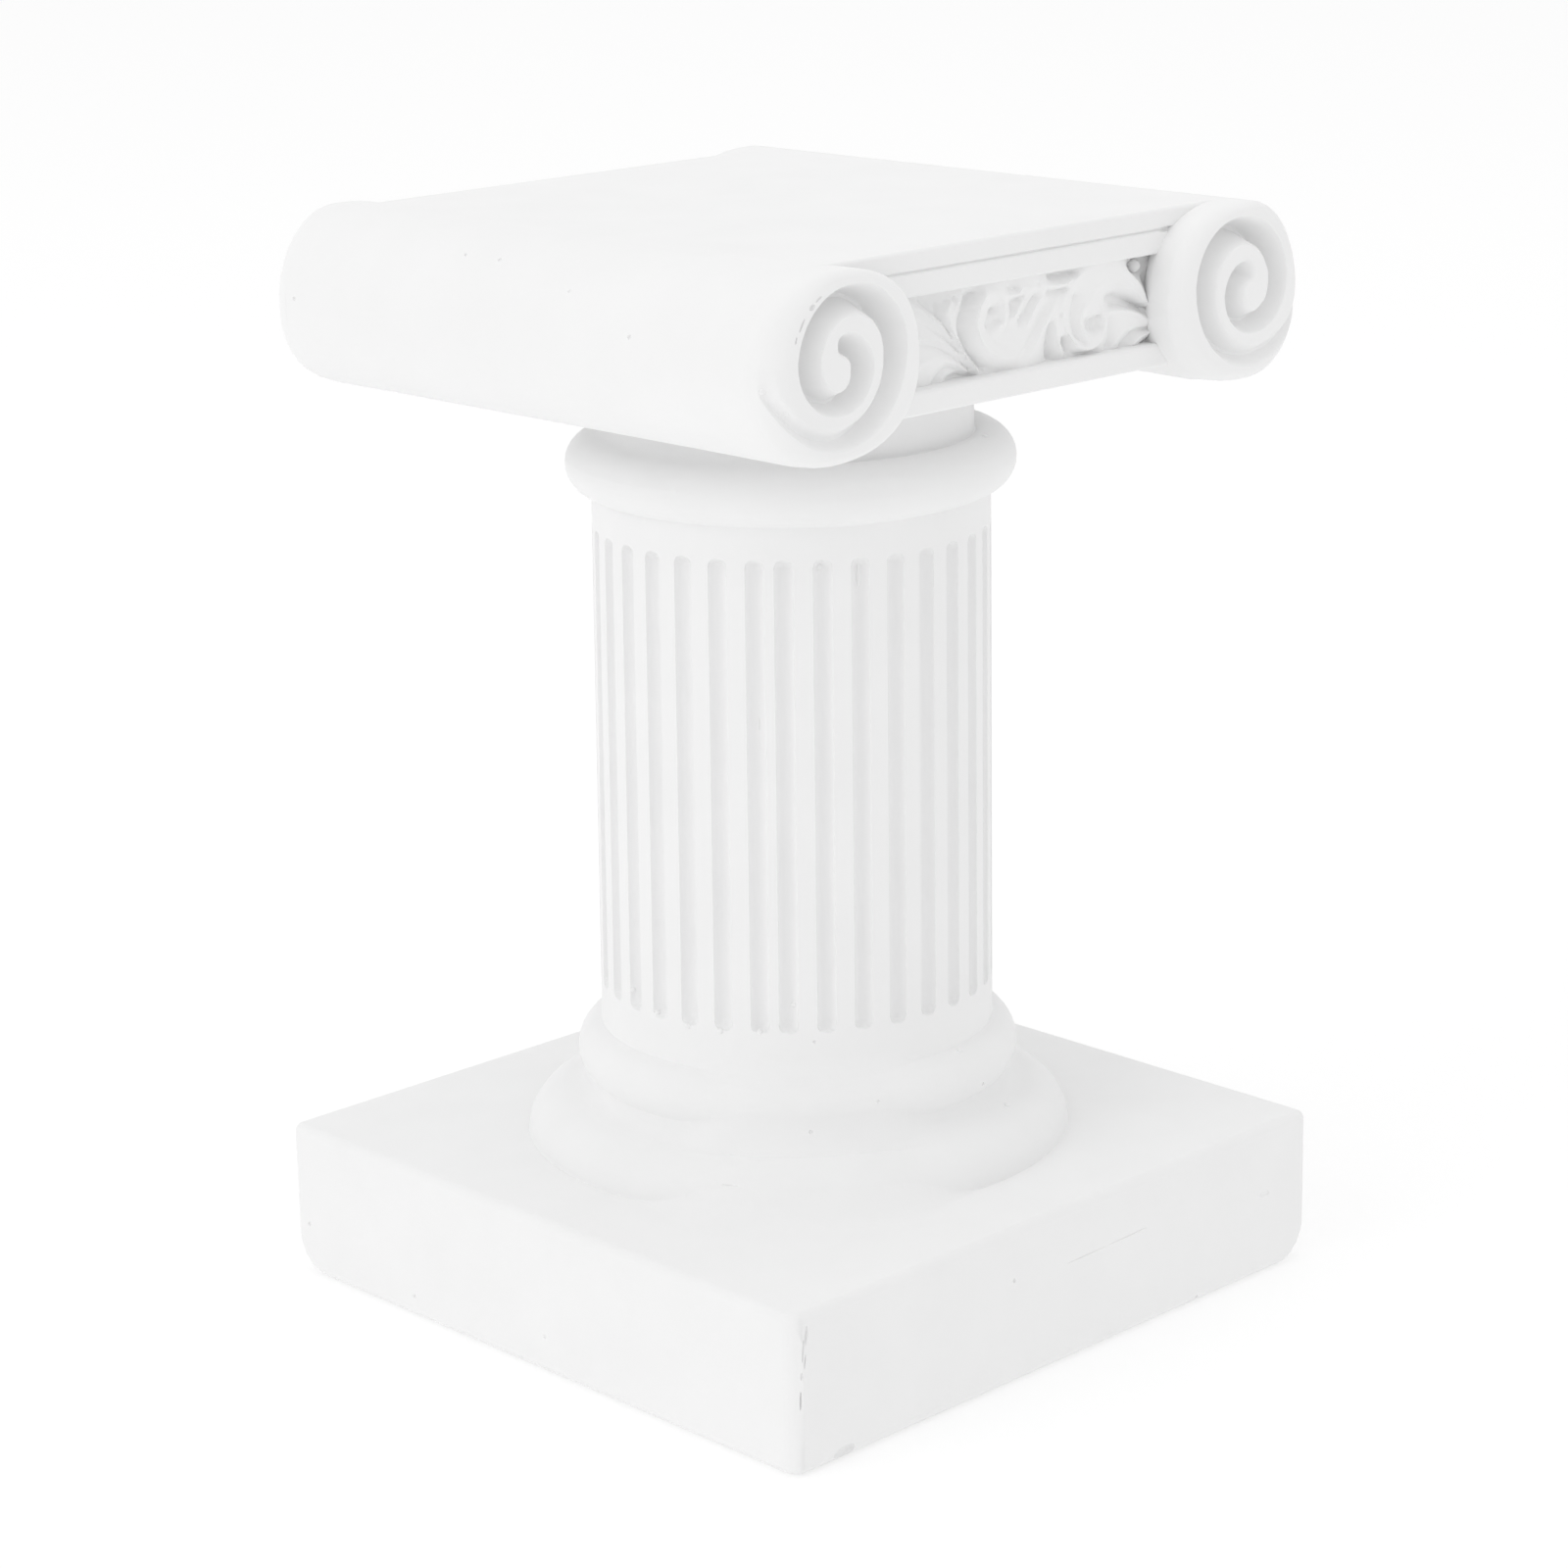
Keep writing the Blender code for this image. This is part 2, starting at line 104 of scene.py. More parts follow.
def openEdit(obj, pick="NONE"):
    pickNothing()
    obj.select_set(True)
    bpy.context.view_layer.objects.active = obj
    bpy.ops.object.mode_set(mode="EDIT")
    bpy.ops.mesh.select_mode(type="VERT")
    bpy.ops.mesh.select_all(action="SELECT" if pick == "ALL" else "DESELECT")


def closeEdit():
    bpy.ops.object.mode_set(mode="OBJECT")


def called(name):
    obj = bpy.context.object
    obj.name = name
    obj.data.name = name
    return obj


def readPlaces(obj):
    places = np.empty(len(obj.data.vertices) * 3)
    obj.data.vertices.foreach_get("co", places)
    return places.reshape(-1, 3)


def writePlaces(obj, places):
    obj.data.vertices.foreach_set("co", np.ascontiguousarray(places, dtype=float).ravel())
    obj.data.update()


def pickEdges(obj, test):
    # Picks the edges whose two ends pass the test, given in mm
    openEdit(obj)
    bpy.ops.mesh.select_mode(type="EDGE")
    closeEdit()
    places = readPlaces(obj) / mm
    for edge in obj.data.edges:
        a, b = edge.vertices
        edge.select = bool(test(places[a], places[b]))
    bpy.ops.object.mode_set(mode="EDIT")


def penLine(name, points, closed=False):
    # One vertex, extruded from point to point; points in mm
    pickNothing()
    bpy.ops.mesh.primitive_plane_add(size=mm)
    obj = called(name)
    openEdit(obj, "ALL")
    bpy.ops.mesh.merge(type="CENTER")
    bpy.ops.transform.translate(value=Vector(points[0]) * mm)
    for before, after in zip(points, points[1:]):
        step = (Vector(after) - Vector(before)) * mm
        bpy.ops.mesh.extrude_region_move(TRANSFORM_OT_translate={"value": step})
    if closed:
        bpy.ops.mesh.select_all(action="SELECT")
        bpy.ops.mesh.edge_face_add()
    closeEdit()
    return obj


def tidyShell(obj, weld=0.002):
    openEdit(obj, "ALL")
    bpy.ops.mesh.remove_doubles(threshold=weld * mm)
    bpy.ops.mesh.dissolve_degenerate(threshold=0.0001 * mm)
    bpy.ops.mesh.select_all(action="SELECT")
    bpy.ops.mesh.normals_make_consistent(inside=False)
    closeEdit()
    return obj


def sheet(name, columns, rows, place):
    # A grid whose crossings are laid where place says, from their column and row numbers
    pickNothing()
    bpy.ops.mesh.primitive_grid_add(x_subdivisions=columns, y_subdivisions=rows, size=2)
    obj = called(name)
    flat = readPlaces(obj)
    column = np.rint((flat[:, 0] + 1) / 2 * columns).astype(int)
    row = np.rint((flat[:, 1] + 1) / 2 * rows).astype(int)
    writePlaces(obj, place(column, row) * mm)
    return obj


def joined(name, parts):
    pickNothing()
    for part in parts:
        part.select_set(True)
    bpy.context.view_layer.objects.active = parts[0]
    bpy.ops.object.join()
    return called(name)


def smoothStep(low, high, values):
    share = np.clip((np.asarray(values, dtype=float) - low) / (high - low), 0, 1)
    return share * share * (3 - 2 * share)


def castTogether(name, base, others, operation="UNION"):
    gathered = bpy.data.collections.new(name)
    bpy.context.scene.collection.children.link(gathered)
    for other in others:
        gathered.objects.link(other)
    cut = base.modifiers.new(name, "BOOLEAN")
    cut.operation = operation
    cut.solver = "MANIFOLD"
    cut.operand_type = "COLLECTION"
    cut.collection = gathered
    pickNothing()
    base.select_set(True)
    bpy.context.view_layer.objects.active = base
    bpy.ops.object.modifier_apply(modifier=cut.name)
    for other in others:
        bpy.data.objects.remove(other, do_unlink=True)
    bpy.data.collections.remove(gathered)
    return base


# Plinth: a square block with nearly sharp upright edges. Its foot and lower corners are rounded, and
# the corner nearest the viewer is rubbed off on one side
plinth = {
    "height": 21.8, "corner": 1.35, "upperEdge": 1.25, "lowerEdge": 1.6,
    "knockedRadius": (1.9, 5.0),        # mm, of the ball inside the near and the other lower corners
    "knockedSlants": (0.35, 0.8, 1.6),  # how steeply each cut leans, as fall per mm across
    "knockedClear": 0.22,               # how far the cuts stay off the ball, as a share of its radius
    "rubbed": (3.2, 1.4),               # mm taken off the near corner along its left and right face
    "rubbedTurn": 70,                   # degrees that the rubbed strips turn through
    "rubbedStrips": (0.2, 0.45, 0.72, 1.0),     # where along that turn each strip lies
}


def makePlinth():
    pickNothing()
    bpy.ops.mesh.primitive_cube_add(size=1, location=(0, 0, plinth["height"] / 2 * mm))
    obj = called("plinthForm")
    obj.scale = (plinthSide * mm, plinthSide * mm, plinth["height"] * mm)
    bpy.ops.object.transform_apply(location=True, rotation=False, scale=True)
    half = plinthSide / 2

    def cutOff(point, facing):
        openEdit(obj, "ALL")
        bpy.ops.mesh.bisect(plane_co=Vector(point) * mm, plane_no=facing, use_fill=True, clear_outer=True)
        closeEdit()

    # The near corner: four flat strips that turn from the left face to the right one
    left, right = plinth["rubbed"]
    for share in plinth["rubbedStrips"]:
        turn = radians(plinth["rubbedTurn"]) * share
        facing = Vector((-cos(turn), -sin(turn), 0))
        touch = Vector((-half + right * share ** 2, -half + left * (1 - share ** 0.6), 0))
        cutOff(touch, facing)
    pickEdges(obj, lambda a, b: abs(a[2] - b[2]) > 1 and (a[0] > 0 or a[1] > 0))
    bpy.ops.mesh.bevel(offset=plinth["corner"] * mm, segments=5, affect="EDGES")
    closeEdit()
    for level, width in ((plinth["height"], plinth["upperEdge"]), (0, plinth["lowerEdge"])):
        pickEdges(obj, lambda a, b, level=level: abs(a[2] - level) < 0.01 and abs(b[2] - level) < 0.01)
        bpy.ops.mesh.bevel(offset=width * mm, segments=6, affect="EDGES", clamp_overlap=False)
        closeEdit()
    for side in ((-1, -1), (-1, 1), (1, -1), (1, 1)):
        ball = plinth["knockedRadius"][0 if side == (-1, -1) else 1]
        middle = Vector((side[0] * (half - ball), side[1] * (half - ball), ball))
        for slant in plinth["knockedSlants"]:
            facing = Vector((side[0], side[1], -slant * sqrt(2))).normalized()
            cutOff(middle + facing * ball * (1 + plinth["knockedClear"] * sqrt(2) / (1 + slant)), facing)
    return tidyShell(obj)


# Turned body: base mouldings, shaft, ring and neck on one profile, spun about the axis
turned = {
    "footRadius": 37.35, "footSpread": 8.0, "footRise": 6.0, "footFrom": 4, "footTo": 76,
    "hollow": 0.7, "torusRadius": 30.2, "torusTube": 4.2, "torusFrom": -48,
    "shaftFoot": 37.7, "shaftHead": 111.2, "shaftFootRadius": 26.9, "shaftHeadRadius": 26.6,
    "ringRadius": 30.0, "ringTube": 3.9, "neckRadius": 24.35, "neckTop": 129.6,
    "neckCove": 0.25,
    # Fillet radii where the forms meet: as moulded, and where the mould's worn side filled them
    "crease": 0.15, "plinthCrease": 0.1,
    "filledShaftFoot": 3.2, "filledShaftHead": 0.35, "filledNeck": 2.4,
    # Where the foot and the torus come out of the fill, in degrees round them, and the hollow between
    "filledFoot": 31, "filledTorus": -16, "filledHollow": 0.5,
    "filledNeckRange": (-135, -48),
    "filledFrom": -60, "filledTo": -24, "filledFade": 20,   # degrees round from the carved front
    "neckPoints": 14,           # how many of the profile's last points lie from the ring's top up
    "lean": (0.0039, -0.0038),  # how far the shaft leans across per mm of height
    "leanFrom": 4,              # mm over the plinth
}
flutes = {
    "perHalf": 17, "width": 2.4, "depth": 1.35, "foot": 43.5, "head": 106.7,
    "seamAzimuth": -50.7, "seamPitch": 8.08,
    # Where the mesh's columns lie across a flute and its levels up from a flute's end, in mm
    "columns": (-1.3, -1.22, -1.1, -0.88, -0.48, 0, 0.48, 0.88, 1.1, 1.22, 1.3),
    "nearEnd": (-0.2, -0.06, 0.03, 0.16, 0.4, 0.75, 1.2),
    "clear": 9.0,           # mm, any distance beyond a flute's edge
    "edge": 1.06,           # how much wider the channel's section runs than the flute
}


def arcPoints(middle, across, upward, start, stop, steps):
    turns = [radians(start + (stop - start) * i / steps) for i in range(steps + 1)]
    return [(middle[0] + across * cos(a), middle[1] + upward * sin(a)) for a in turns]


def filletOnTube(tube, tubeRadius, wall, size, below):
    # A fillet between a round tube and an upright wall: its middle and the tube's angle there
    across = wall + size - tube[0]
    rise = sqrt((tubeRadius + size) ** 2 - across ** 2) * (-1 if below else 1)
    return (wall + size, tube[1] + rise), atan2(rise, across)


def turnedProfile(filled):
    # Pairs of (radius, level) in mm; the filled one has as many, with its creases filled
    t = turned
    topOfPlinth = plinth["height"]
    # The foot's rim, where it stands on the plinth
    start = t["filledFoot"] if filled else t["footFrom"]
    middle = (t["footRadius"] - t["footSpread"], topOfPlinth)
    foot = arcPoints(middle, t["footSpread"], t["footRise"], start, t["footTo"], 9)
    if filled:
        # An arc that leaves the plinth's top level and meets the foot's slope
        steep = atan2(t["footRise"] * cos(radians(start)), t["footSpread"] * sin(radians(start)))
        size = (foot[0][1] - topOfPlinth) / (1 - cos(steep))
        edge = foot[0][0] + size * sin(steep)
    else:
        steep, size = pi / 2, t["plinthCrease"]
        edge = t["footRadius"] + size
    points = [(edge, topOfPlinth - 0.5), (edge, topOfPlinth - 0.02)]
    points += [(edge - size * sin(steep * share), topOfPlinth + size * (1 - cos(steep * share)))
               for share in (0.25, 0.5, 0.75, 0.97)]
    tube = (t["torusRadius"] - t["torusTube"], t["shaftFoot"] - t["torusTube"])
    size = t["filledShaftFoot"] if filled else t["crease"]
    corner, turn = filletOnTube(tube, t["torusTube"], t["shaftFootRadius"], size, False)
    start = t["filledTorus"] if filled else t["torusFrom"]
    torus = arcPoints(tube, t["torusTube"], t["torusTube"], start, degrees(turn), 12)
    points += foot
    rise, out = torus[0][1] - foot[-1][1], torus[0][0] - foot[-1][0]
    for share in (0.2, 0.4, 0.6, 0.8):
        sink = t["filledHollow" if filled else "hollow"] * 4 * share * (1 - share)
        points.append((foot[-1][0] + out * share - sink, foot[-1][1] + rise * share - sink * 0.4))
    points += torus
    points += arcPoints(corner, -size, size, -degrees(turn), 0, 4)[1:]
    for level in shaftLevels():
        share = (level - t["shaftFoot"]) / (t["shaftHead"] - t["shaftFoot"])
        points.append((t["shaftFootRadius"] + (t["shaftHeadRadius"] - t["shaftFootRadius"]) * share, level))
    tube = (t["ringRadius"] - t["ringTube"], t["shaftHead"] + t["ringTube"])
    size = t["filledShaftHead"] if filled else t["crease"]
    corner, turn = filletOnTube(tube, t["ringTube"], t["shaftHeadRadius"], size, True)
    points += arcPoints(corner, -size, size, 0, -degrees(turn), 4)[:-1]
    size = t["filledNeck"] if filled else t["neckCove"]
    corner, top = filletOnTube(tube, t["ringTube"], t["neckRadius"], size, False)
    points += arcPoints(tube, t["ringTube"], t["ringTube"], degrees(turn), degrees(top), 16)
    points += arcPoints(corner, -size, size, -degrees(top), 0, 5)[1:]
    points.append((t["neckRadius"], t["neckTop"]))
    return points


def shaftLevels():
    lower = [flutes["foot"] + step for step in flutes["nearEnd"]]
    upper = [flutes["head"] - step for step in reversed(flutes["nearEnd"])]
    middle = [flutes["foot"] + (flutes["head"] - flutes["foot"]) * share for share in (0.25, 0.5, 0.75)]
    return lower + middle + upper


def fluteColumns():
    # The azimuth of every column of the spun mesh, and how far it lies from its flute's middle
    pitch = (180 - flutes["seamPitch"]) / (flutes["perHalf"] - 1)
    reach = turned["shaftFootRadius"]
    azimuths, across = [], []
    for half in range(2):
        start = flutes["seamAzimuth"] + 180 * half + flutes["seamPitch"] / 2
        for i in range(flutes["perHalf"]):
            middle = start + i * pitch
            gap = (flutes["seamPitch"] if i == 0 else pitch) / 2
            azimuths.append(radians(middle - gap))
            across.append(flutes["clear"])
            for offset in flutes["columns"]:
                azimuths.append(radians(middle) + offset / reach)
                across.append(offset)
    return np.array(azimuths), np.array(across)


def fluteDepth(across, level):
    # A round-bottomed channel with half-round ends
    half = flutes["width"] / 2
    low, high = flutes["foot"] + half, flutes["head"] - half
    beyond = np.maximum(np.maximum(low - level, level - high), 0)
    share = np.clip(np.hypot(across, beyond) / (half * flutes["edge"]), 0, 1)
    return flutes["depth"] * np.sqrt(1 - share ** 2)


def makeTurned():
    crisp, filled = turnedProfile(False), turnedProfile(True)
    obj = penLine("turnedForm", [(radius, 0, level) for radius, level in crisp])
    azimuths, across = fluteColumns()
    openEdit(obj, "ALL")
    bpy.ops.mesh.spin(steps=len(azimuths), angle=2 * pi, center=(0, 0, 0), axis=(0, 0, 1))
    bpy.ops.mesh.select_all(action="SELECT")
    bpy.ops.mesh.remove_doubles(threshold=0.002 * mm)
    bpy.ops.mesh.fill_holes(sides=0)
    closeEdit()
    # Each spun column goes to its place beside a flute, and each level takes its flute depth or fillet
    places = readPlaces(obj) / mm
    spun = np.degrees(np.arctan2(places[:, 1], places[:, 0])) % 360
    column = np.rint(spun / 360 * len(azimuths)).astype(int) % len(azimuths)
    radius, level = np.hypot(places[:, 0], places[:, 1]), places[:, 2]
    crispArray, filledArray = np.array(crisp), np.array(filled)
    point = np.array([np.argmin((crispArray[:, 0] - r) ** 2 + (crispArray[:, 1] - z) ** 2)
                      for r, z in zip(radius, level)])
    azimuth = azimuths[column]
    degreesRound = (np.degrees(azimuth) + 180) % 360 - 180
    fade = turned["filledFade"]
    onNeck = point >= len(crisp) - turned["neckPoints"]
    start = np.where(onNeck, turned["filledNeckRange"][0], turned["filledFrom"])
    stop = np.where(onNeck, turned["filledNeckRange"][1], turned["filledTo"])
    share = smoothStep(0, fade, degreesRound - start + fade) * (1 - smoothStep(0, fade, degreesRound - stop))
    radius = crispArray[point, 0] * (1 - share) + filledArray[point, 0] * share
    level = crispArray[point, 1] * (1 - share) + filledArray[point, 1] * share
    onShaft = (level > flutes["foot"] - 1) & (level < flutes["head"] + 1)
    radius = radius - np.where(onShaft, fluteDepth(across[column], level), 0)
    height = np.maximum(level - plinth["height"] - turned["leanFrom"], 0)
    writePlaces(obj, np.column_stack((radius * np.sin(azimuth) + turned["lean"][0] * height,
                                      -radius * np.cos(azimuth) + turned["lean"][1] * height, level)) * mm)
    return tidyShell(obj)


# Capital's slab: abacus, fascia, recessed frieze and lower fascia, the same at the back
slab = {
    "height": 20.4, "front": 42.5, "edge": 0.45, "abacus": 2.6, "groove": 0.16, "grooveDepth": 0.4,
    "upperFascia": 3.05, "setBack": 0.1, "lowerFascia": 3.1, "ground": 38.6, "underFrieze": 1,
    "topStep": 0.03,    # how far the rolls' tops stand above the slab
    # The line over the fascia widens to a small pit at one volute: where it is, and its half widths
    "pit": (26.6, 42.6, 146.15), "pitSize": (1.6, 0.9, 0.4),
}
capitalShift = (0.3, -0.3, 0)   # mm: the capital came out of the mould a little off the plinth's middle
eye = {"spacing": 76.0, "drop": 12.1}


def slabLevels():
    foot = topLevel - slab["height"]
    abacusFoot = topLevel - slab["abacus"]
    fasciaTop = abacusFoot - slab["groove"]
    friezeTop = fasciaTop - slab["upperFascia"]
    return foot, foot + slab["lowerFascia"], friezeTop, fasciaTop, abacusFoot


def makeSlab():
    foot, friezeFoot, friezeTop, fasciaTop, abacusFoot = slabLevels()
    front, ground = slab["front"], slab["ground"] - slab["underFrieze"]
    upper = front - slab["setBack"]
    slabTop = topLevel - slab["topStep"]
    half = [(front, foot), (front, friezeFoot), (ground, friezeFoot), (ground, friezeTop),
            (upper, friezeTop), (upper, fasciaTop), (upper - slab["grooveDepth"], fasciaTop),
            (upper - slab["grooveDepth"], abacusFoot), (front, abacusFoot), (front, slabTop)]
    end = eye["spacing"] / 2
    outline = [(-end, -out, level) for out, level in half] + [(-end, out, level) for out, level in half[::-1]]
    obj = penLine("slabForm", outline, closed=True)
    openEdit(obj, "ALL")
    bpy.ops.mesh.extrude_region_move(TRANSFORM_OT_translate={"value": (2 * end * mm, 0, 0)})
    closeEdit()
    outer = [(front, foot), (front, friezeFoot), (upper, friezeTop), (upper, fasciaTop),
             (front, abacusFoot), (front, slabTop)]

    def softEdge(a, b):
        along = abs(a[0] - b[0]) > 1
        return along and any(abs(abs(a[1]) - out) < 0.01 and abs(a[2] - level) < 0.01 for out, level in outer)

    pickEdges(obj, softEdge)
    bpy.ops.mesh.bevel(offset=slab["edge"] * mm, segments=3, affect="EDGES")
    closeEdit()
    pits = []
    for turn in (1, -1):
        pickNothing()
        across, out, level = slab["pit"]
        bpy.ops.mesh.primitive_ico_sphere_add(subdivisions=3, radius=mm,
                                              location=(turn * across * mm, -turn * out * mm, level * mm))
        bpy.ops.transform.resize(value=slab["pitSize"])
        bpy.ops.object.transform_apply(location=True, rotation=False, scale=True)
        pits.append(called("pit"))
    return castTogether("pits", tidyShell(obj), pits, "DIFFERENCE")


# Rolls and volutes. Reaches go from the eye to the outer side, down, inward and up, in mm
roll = {
    "columns": 96,
    "gather": 0.35,         # how much the columns gather where the roll runs into the slab's underside
    "gatherAt": 140,
    "waist": (11.1, 11.45, 10.0, 12.1), "full": (11.4, 11.3, 14.9, 12.1),
    "flank": (11.35, 11.5, 14.3, 12.1), "ground": (11.2, 11.5, 11.2, 12.1),
    "face": (6.9, 9.6, 12.0, 11.0),
    # How square each quarter of the outline is, from the outer side by way of below; 2 is an ellipse
    "square": (2.15, 2.2, 2.5, 1.9),
    "volute": 47.6,
    "shoulder": (4.4, 3.0, 2.2, 1.8),   # how far the rim falls back from the face
    "ribbonEdge": 68,       # degrees round the shoulder where the spiral's ribbon begins
    # Rings of its mesh up to the frieze's ground: mm from its middle and share of the outline there,
    # and then up to the slab's front: share of the way and share of the web
    "barrel": ((0, 0), (14, 0), (25, 0), (31, 0.3), (36, 0.8)),
    "sweep": ((0.12, 0.97), (0.28, 0.85), (0.5, 0.55), (0.75, 0.2)),
    "web": 2.2,             # mm, the softness of the hollow where the roll meets the slab's underside
    "webRange": (95, 175),  # degrees round the eye that the hollow takes up
    "webReach": 152,        # from here on its line falls back, by the next value in mm a degree
    "webFall": 0.75,
}
spiral = {
    # At each quarter turn, from the outer side downwards: the groove's reach, width and depth
    "reach": (11.0, 7.8, 9.5, 8.7, 4.8, 3.5, 3.9, 3.4, 2.0),
    "width": (1.4, 2.8, 4.2, 3.7, 4.2, 2.9, 4.0, 3.0, 0.2),
    "depth": (0.9, 1.5, 4.4, 4.2, 4.2, 2.5, 4.4, 3.2, 0.6),
    "start": -10, "join": 26, "tail": 815, "fadeIn": 26, "fadeOut": (95, 62),   # degrees
    "section": 1.6,         # the power that the groove's parabola is raised to
    "steps": 24,            # points of the curve in a quarter turn
    # Rows of the ribbon's mesh: in the groove, as shares of its width, and on the ridge beside it
    "inGroove": (0, 0.03, 0.09, 0.18, 0.3, 0.44, 0.58, 0.7, 0.8, 0.88, 0.95, 1.04), "onRidge": 7,
    "lip": (0.8, 0.6),      # the most of the ribbon that the groove's rows take, in the groove and before it
    "eye": 0.12,            # mm, the radius under which the ribbon is drawn to one point
}
eyeLevel = topLevel - eye["drop"]


def byQuarter(values, c, s):
    return np.where(s > 0, np.where(c > 0, values[0], values[1]), np.where(c > 0, values[3], values[2]))


def reachAt(reaches, angle):
    # Distance from the eye to a volute's outline in a direction: 0 is the outer side, a quarter is down
    outer, below, inner, above = reaches
    c, s = np.cos(angle), np.sin(angle)
    power = byQuarter(roll["square"], c, s)
    across, down = np.where(c > 0, outer, inner), np.where(s > 0, below, above)
    return (np.abs(c / across) ** power + np.abs(s / down) ** power) ** (-1 / power)


def reachBetween(first, second, share, angle):
    return reachAt(first, angle) * (1 - share) + reachAt(second, angle) * share


def shoulderDepth(angle):
    outer, below, inner, above = roll["shoulder"]
    c, s = np.cos(angle), np.sin(angle)
    return np.where(c > 0, outer, inner) * c * c + np.where(s > 0, below, above) * s * s


def gathered(column):
    # The direction of a column of the roll's mesh
    turn = column * 2 * pi / roll["columns"]
    return turn - roll["gather"] * np.sin(turn - radians(roll["gatherAt"]))


def webbed(reach, angle):
    # The roll's outline with a hollow sweep into the slab's underside
    around = np.degrees(angle) % 360
    hang = eye["drop"] - slab["height"]
    line = -hang / np.maximum(np.sin(angle), 0.05)
    end = -hang / sin(radians(roll["webReach"]))
    line = np.where(around > roll["webReach"], end - (around - roll["webReach"]) * roll["webFall"], line)
    line = np.where((around > roll["webRange"][0]) & (around < roll["webRange"][1]), line, 0)
    return (reach + line + np.sqrt((reach - line) ** 2 + roll["web"] ** 2 * (line > 0))) / 2


def surfaceDrop(radius, angle):
    face, full = reachAt(roll["face"], angle), reachAt(roll["full"], angle)
    share = np.clip((radius - face) / (full - face), 0, 1)
    return shoulderDepth(angle) * (1 - np.sqrt(1 - share * share))


def spiralCurve():
    # The groove's middle as quarter arcs that run into each other: turned angle, direction, radius
    reach = spiral["reach"]

    def toward(turn):
        return np.array((-cos(turn * pi / 2), -sin(turn * pi / 2)))

    radius, center = reach[0], np.array((0.0, reach[0] - reach[1]))
    turns, places = [], []
    for quarter in range(len(reach) - 1):
        if quarter:
            nextRadius = reach[quarter + 1] - center @ toward(quarter + 1)
            center = center + (radius - nextRadius) * toward(quarter)
            radius = nextRadius
        for step in range(spiral["steps"]):
            turns.append(quarter + step / spiral["steps"])
            places.append(center + radius * toward(turns[-1]))
    places = np.array(places)
    direction = np.unwrap(np.arctan2(-places[:, 1], -places[:, 0]))
    return np.array(turns), direction, np.hypot(places[:, 0], places[:, 1])


grooveTurns, grooveDirections, grooveRadii = spiralCurve()


def grooveAt(direction):
    # The groove's middle radius, width and depth in a direction that counts whole turns
    turn = np.interp(direction, grooveDirections, grooveTurns)
    quarters = np.arange(len(spiral["reach"]))
    width = np.interp(turn, quarters, spiral["width"])
    depth = np.interp(turn, quarters, spiral["depth"])
    end = grooveDirections[-1]
    fadeIn = smoothStep(radians(spiral["start"]), radians(spiral["start"] + spiral["fadeIn"]), direction)
    fadeOut = 1 - smoothStep(*(end - radians(before) for before in spiral["fadeOut"]), direction)
    return np.interp(direction, grooveDirections, grooveRadii), width, depth * fadeIn * fadeOut


def ribbonEdge(direction):
    # The crest line between one turn of the groove and the next, which the ribbon's rows follow
    rim = reachBetween(roll["face"], roll["full"], sin(radians(roll["ribbonEdge"])), direction)
    middle, width, _ = grooveAt(direction)
    start, end, tail = radians(spiral["start"]), grooveDirections[-1], radians(spiral["tail"])
    crest = middle + width / 2
    crest = crest * np.clip((tail - direction) / (tail - end), 0, 1)
    share = smoothStep(start, start + radians(spiral["join"]), direction)
    return np.where(direction < start, rim, rim * (1 - share) + np.minimum(crest, rim) * share)


def voluteFace(side, end):
    # A ribbon that winds from the rim to the eye and is welded to itself, with the groove along it
    perTurn = roll["columns"]
    spread = gathered(np.arange(-2 * perTurn, 3 * perTurn))
    first = int(np.sum(spread + 2 * pi <= radians(spiral["start"]))) - 1 - 2 * perTurn
    last = int(np.sum(spread < radians(spiral["tail"]))) - 2 * perTurn
    inGroove, wide = spiral["inGroove"], spiral["inGroove"][-1]
    onRidge = np.linspace(0, 1, spiral["onRidge"] + 1)[1:]

    def place(column, row):
        direction = gathered(first + column)
        outer, inner = ribbonEdge(direction), ribbonEdge(direction + 2 * pi)
        middle, width, depth = grooveAt(direction)
        cut = direction > radians(spiral["start"]) - 1e-6
        span = np.maximum(outer - inner, 0)
        lip = np.where(cut, np.minimum(width * wide, span * spiral["lip"][0]), span * spiral["lip"][1])
        across = np.empty(len(row))
        for i, share in enumerate(inGroove):
            across = np.where(row == i, share / wide * lip, across)
        for i, share in enumerate(onRidge):
            across = np.where(row == len(inGroove) + i, lip + (span - lip) * share, across)
        radius = outer - across
        radius = np.where(radius < spiral["eye"], 0, radius)
        shape = np.clip(1 - (2 * across / np.maximum(width, 0.1) - 1) ** 2, 0, 1) ** spiral["section"]
        sink = np.where(cut, depth * shape, 0)
        out = roll["volute"] - surfaceDrop(radius, direction) - sink
        return atVolute(side, end, radius, direction, out)

    return sheet("voluteFace", last - first, len(inGroove) + len(onRidge) - 1, place)


def atVolute(side, end, radius, direction, out):
    across = side * (eye["spacing"] / 2 + radius * np.cos(direction))
    return np.column_stack((across, end * out, eyeLevel - radius * np.sin(direction)))


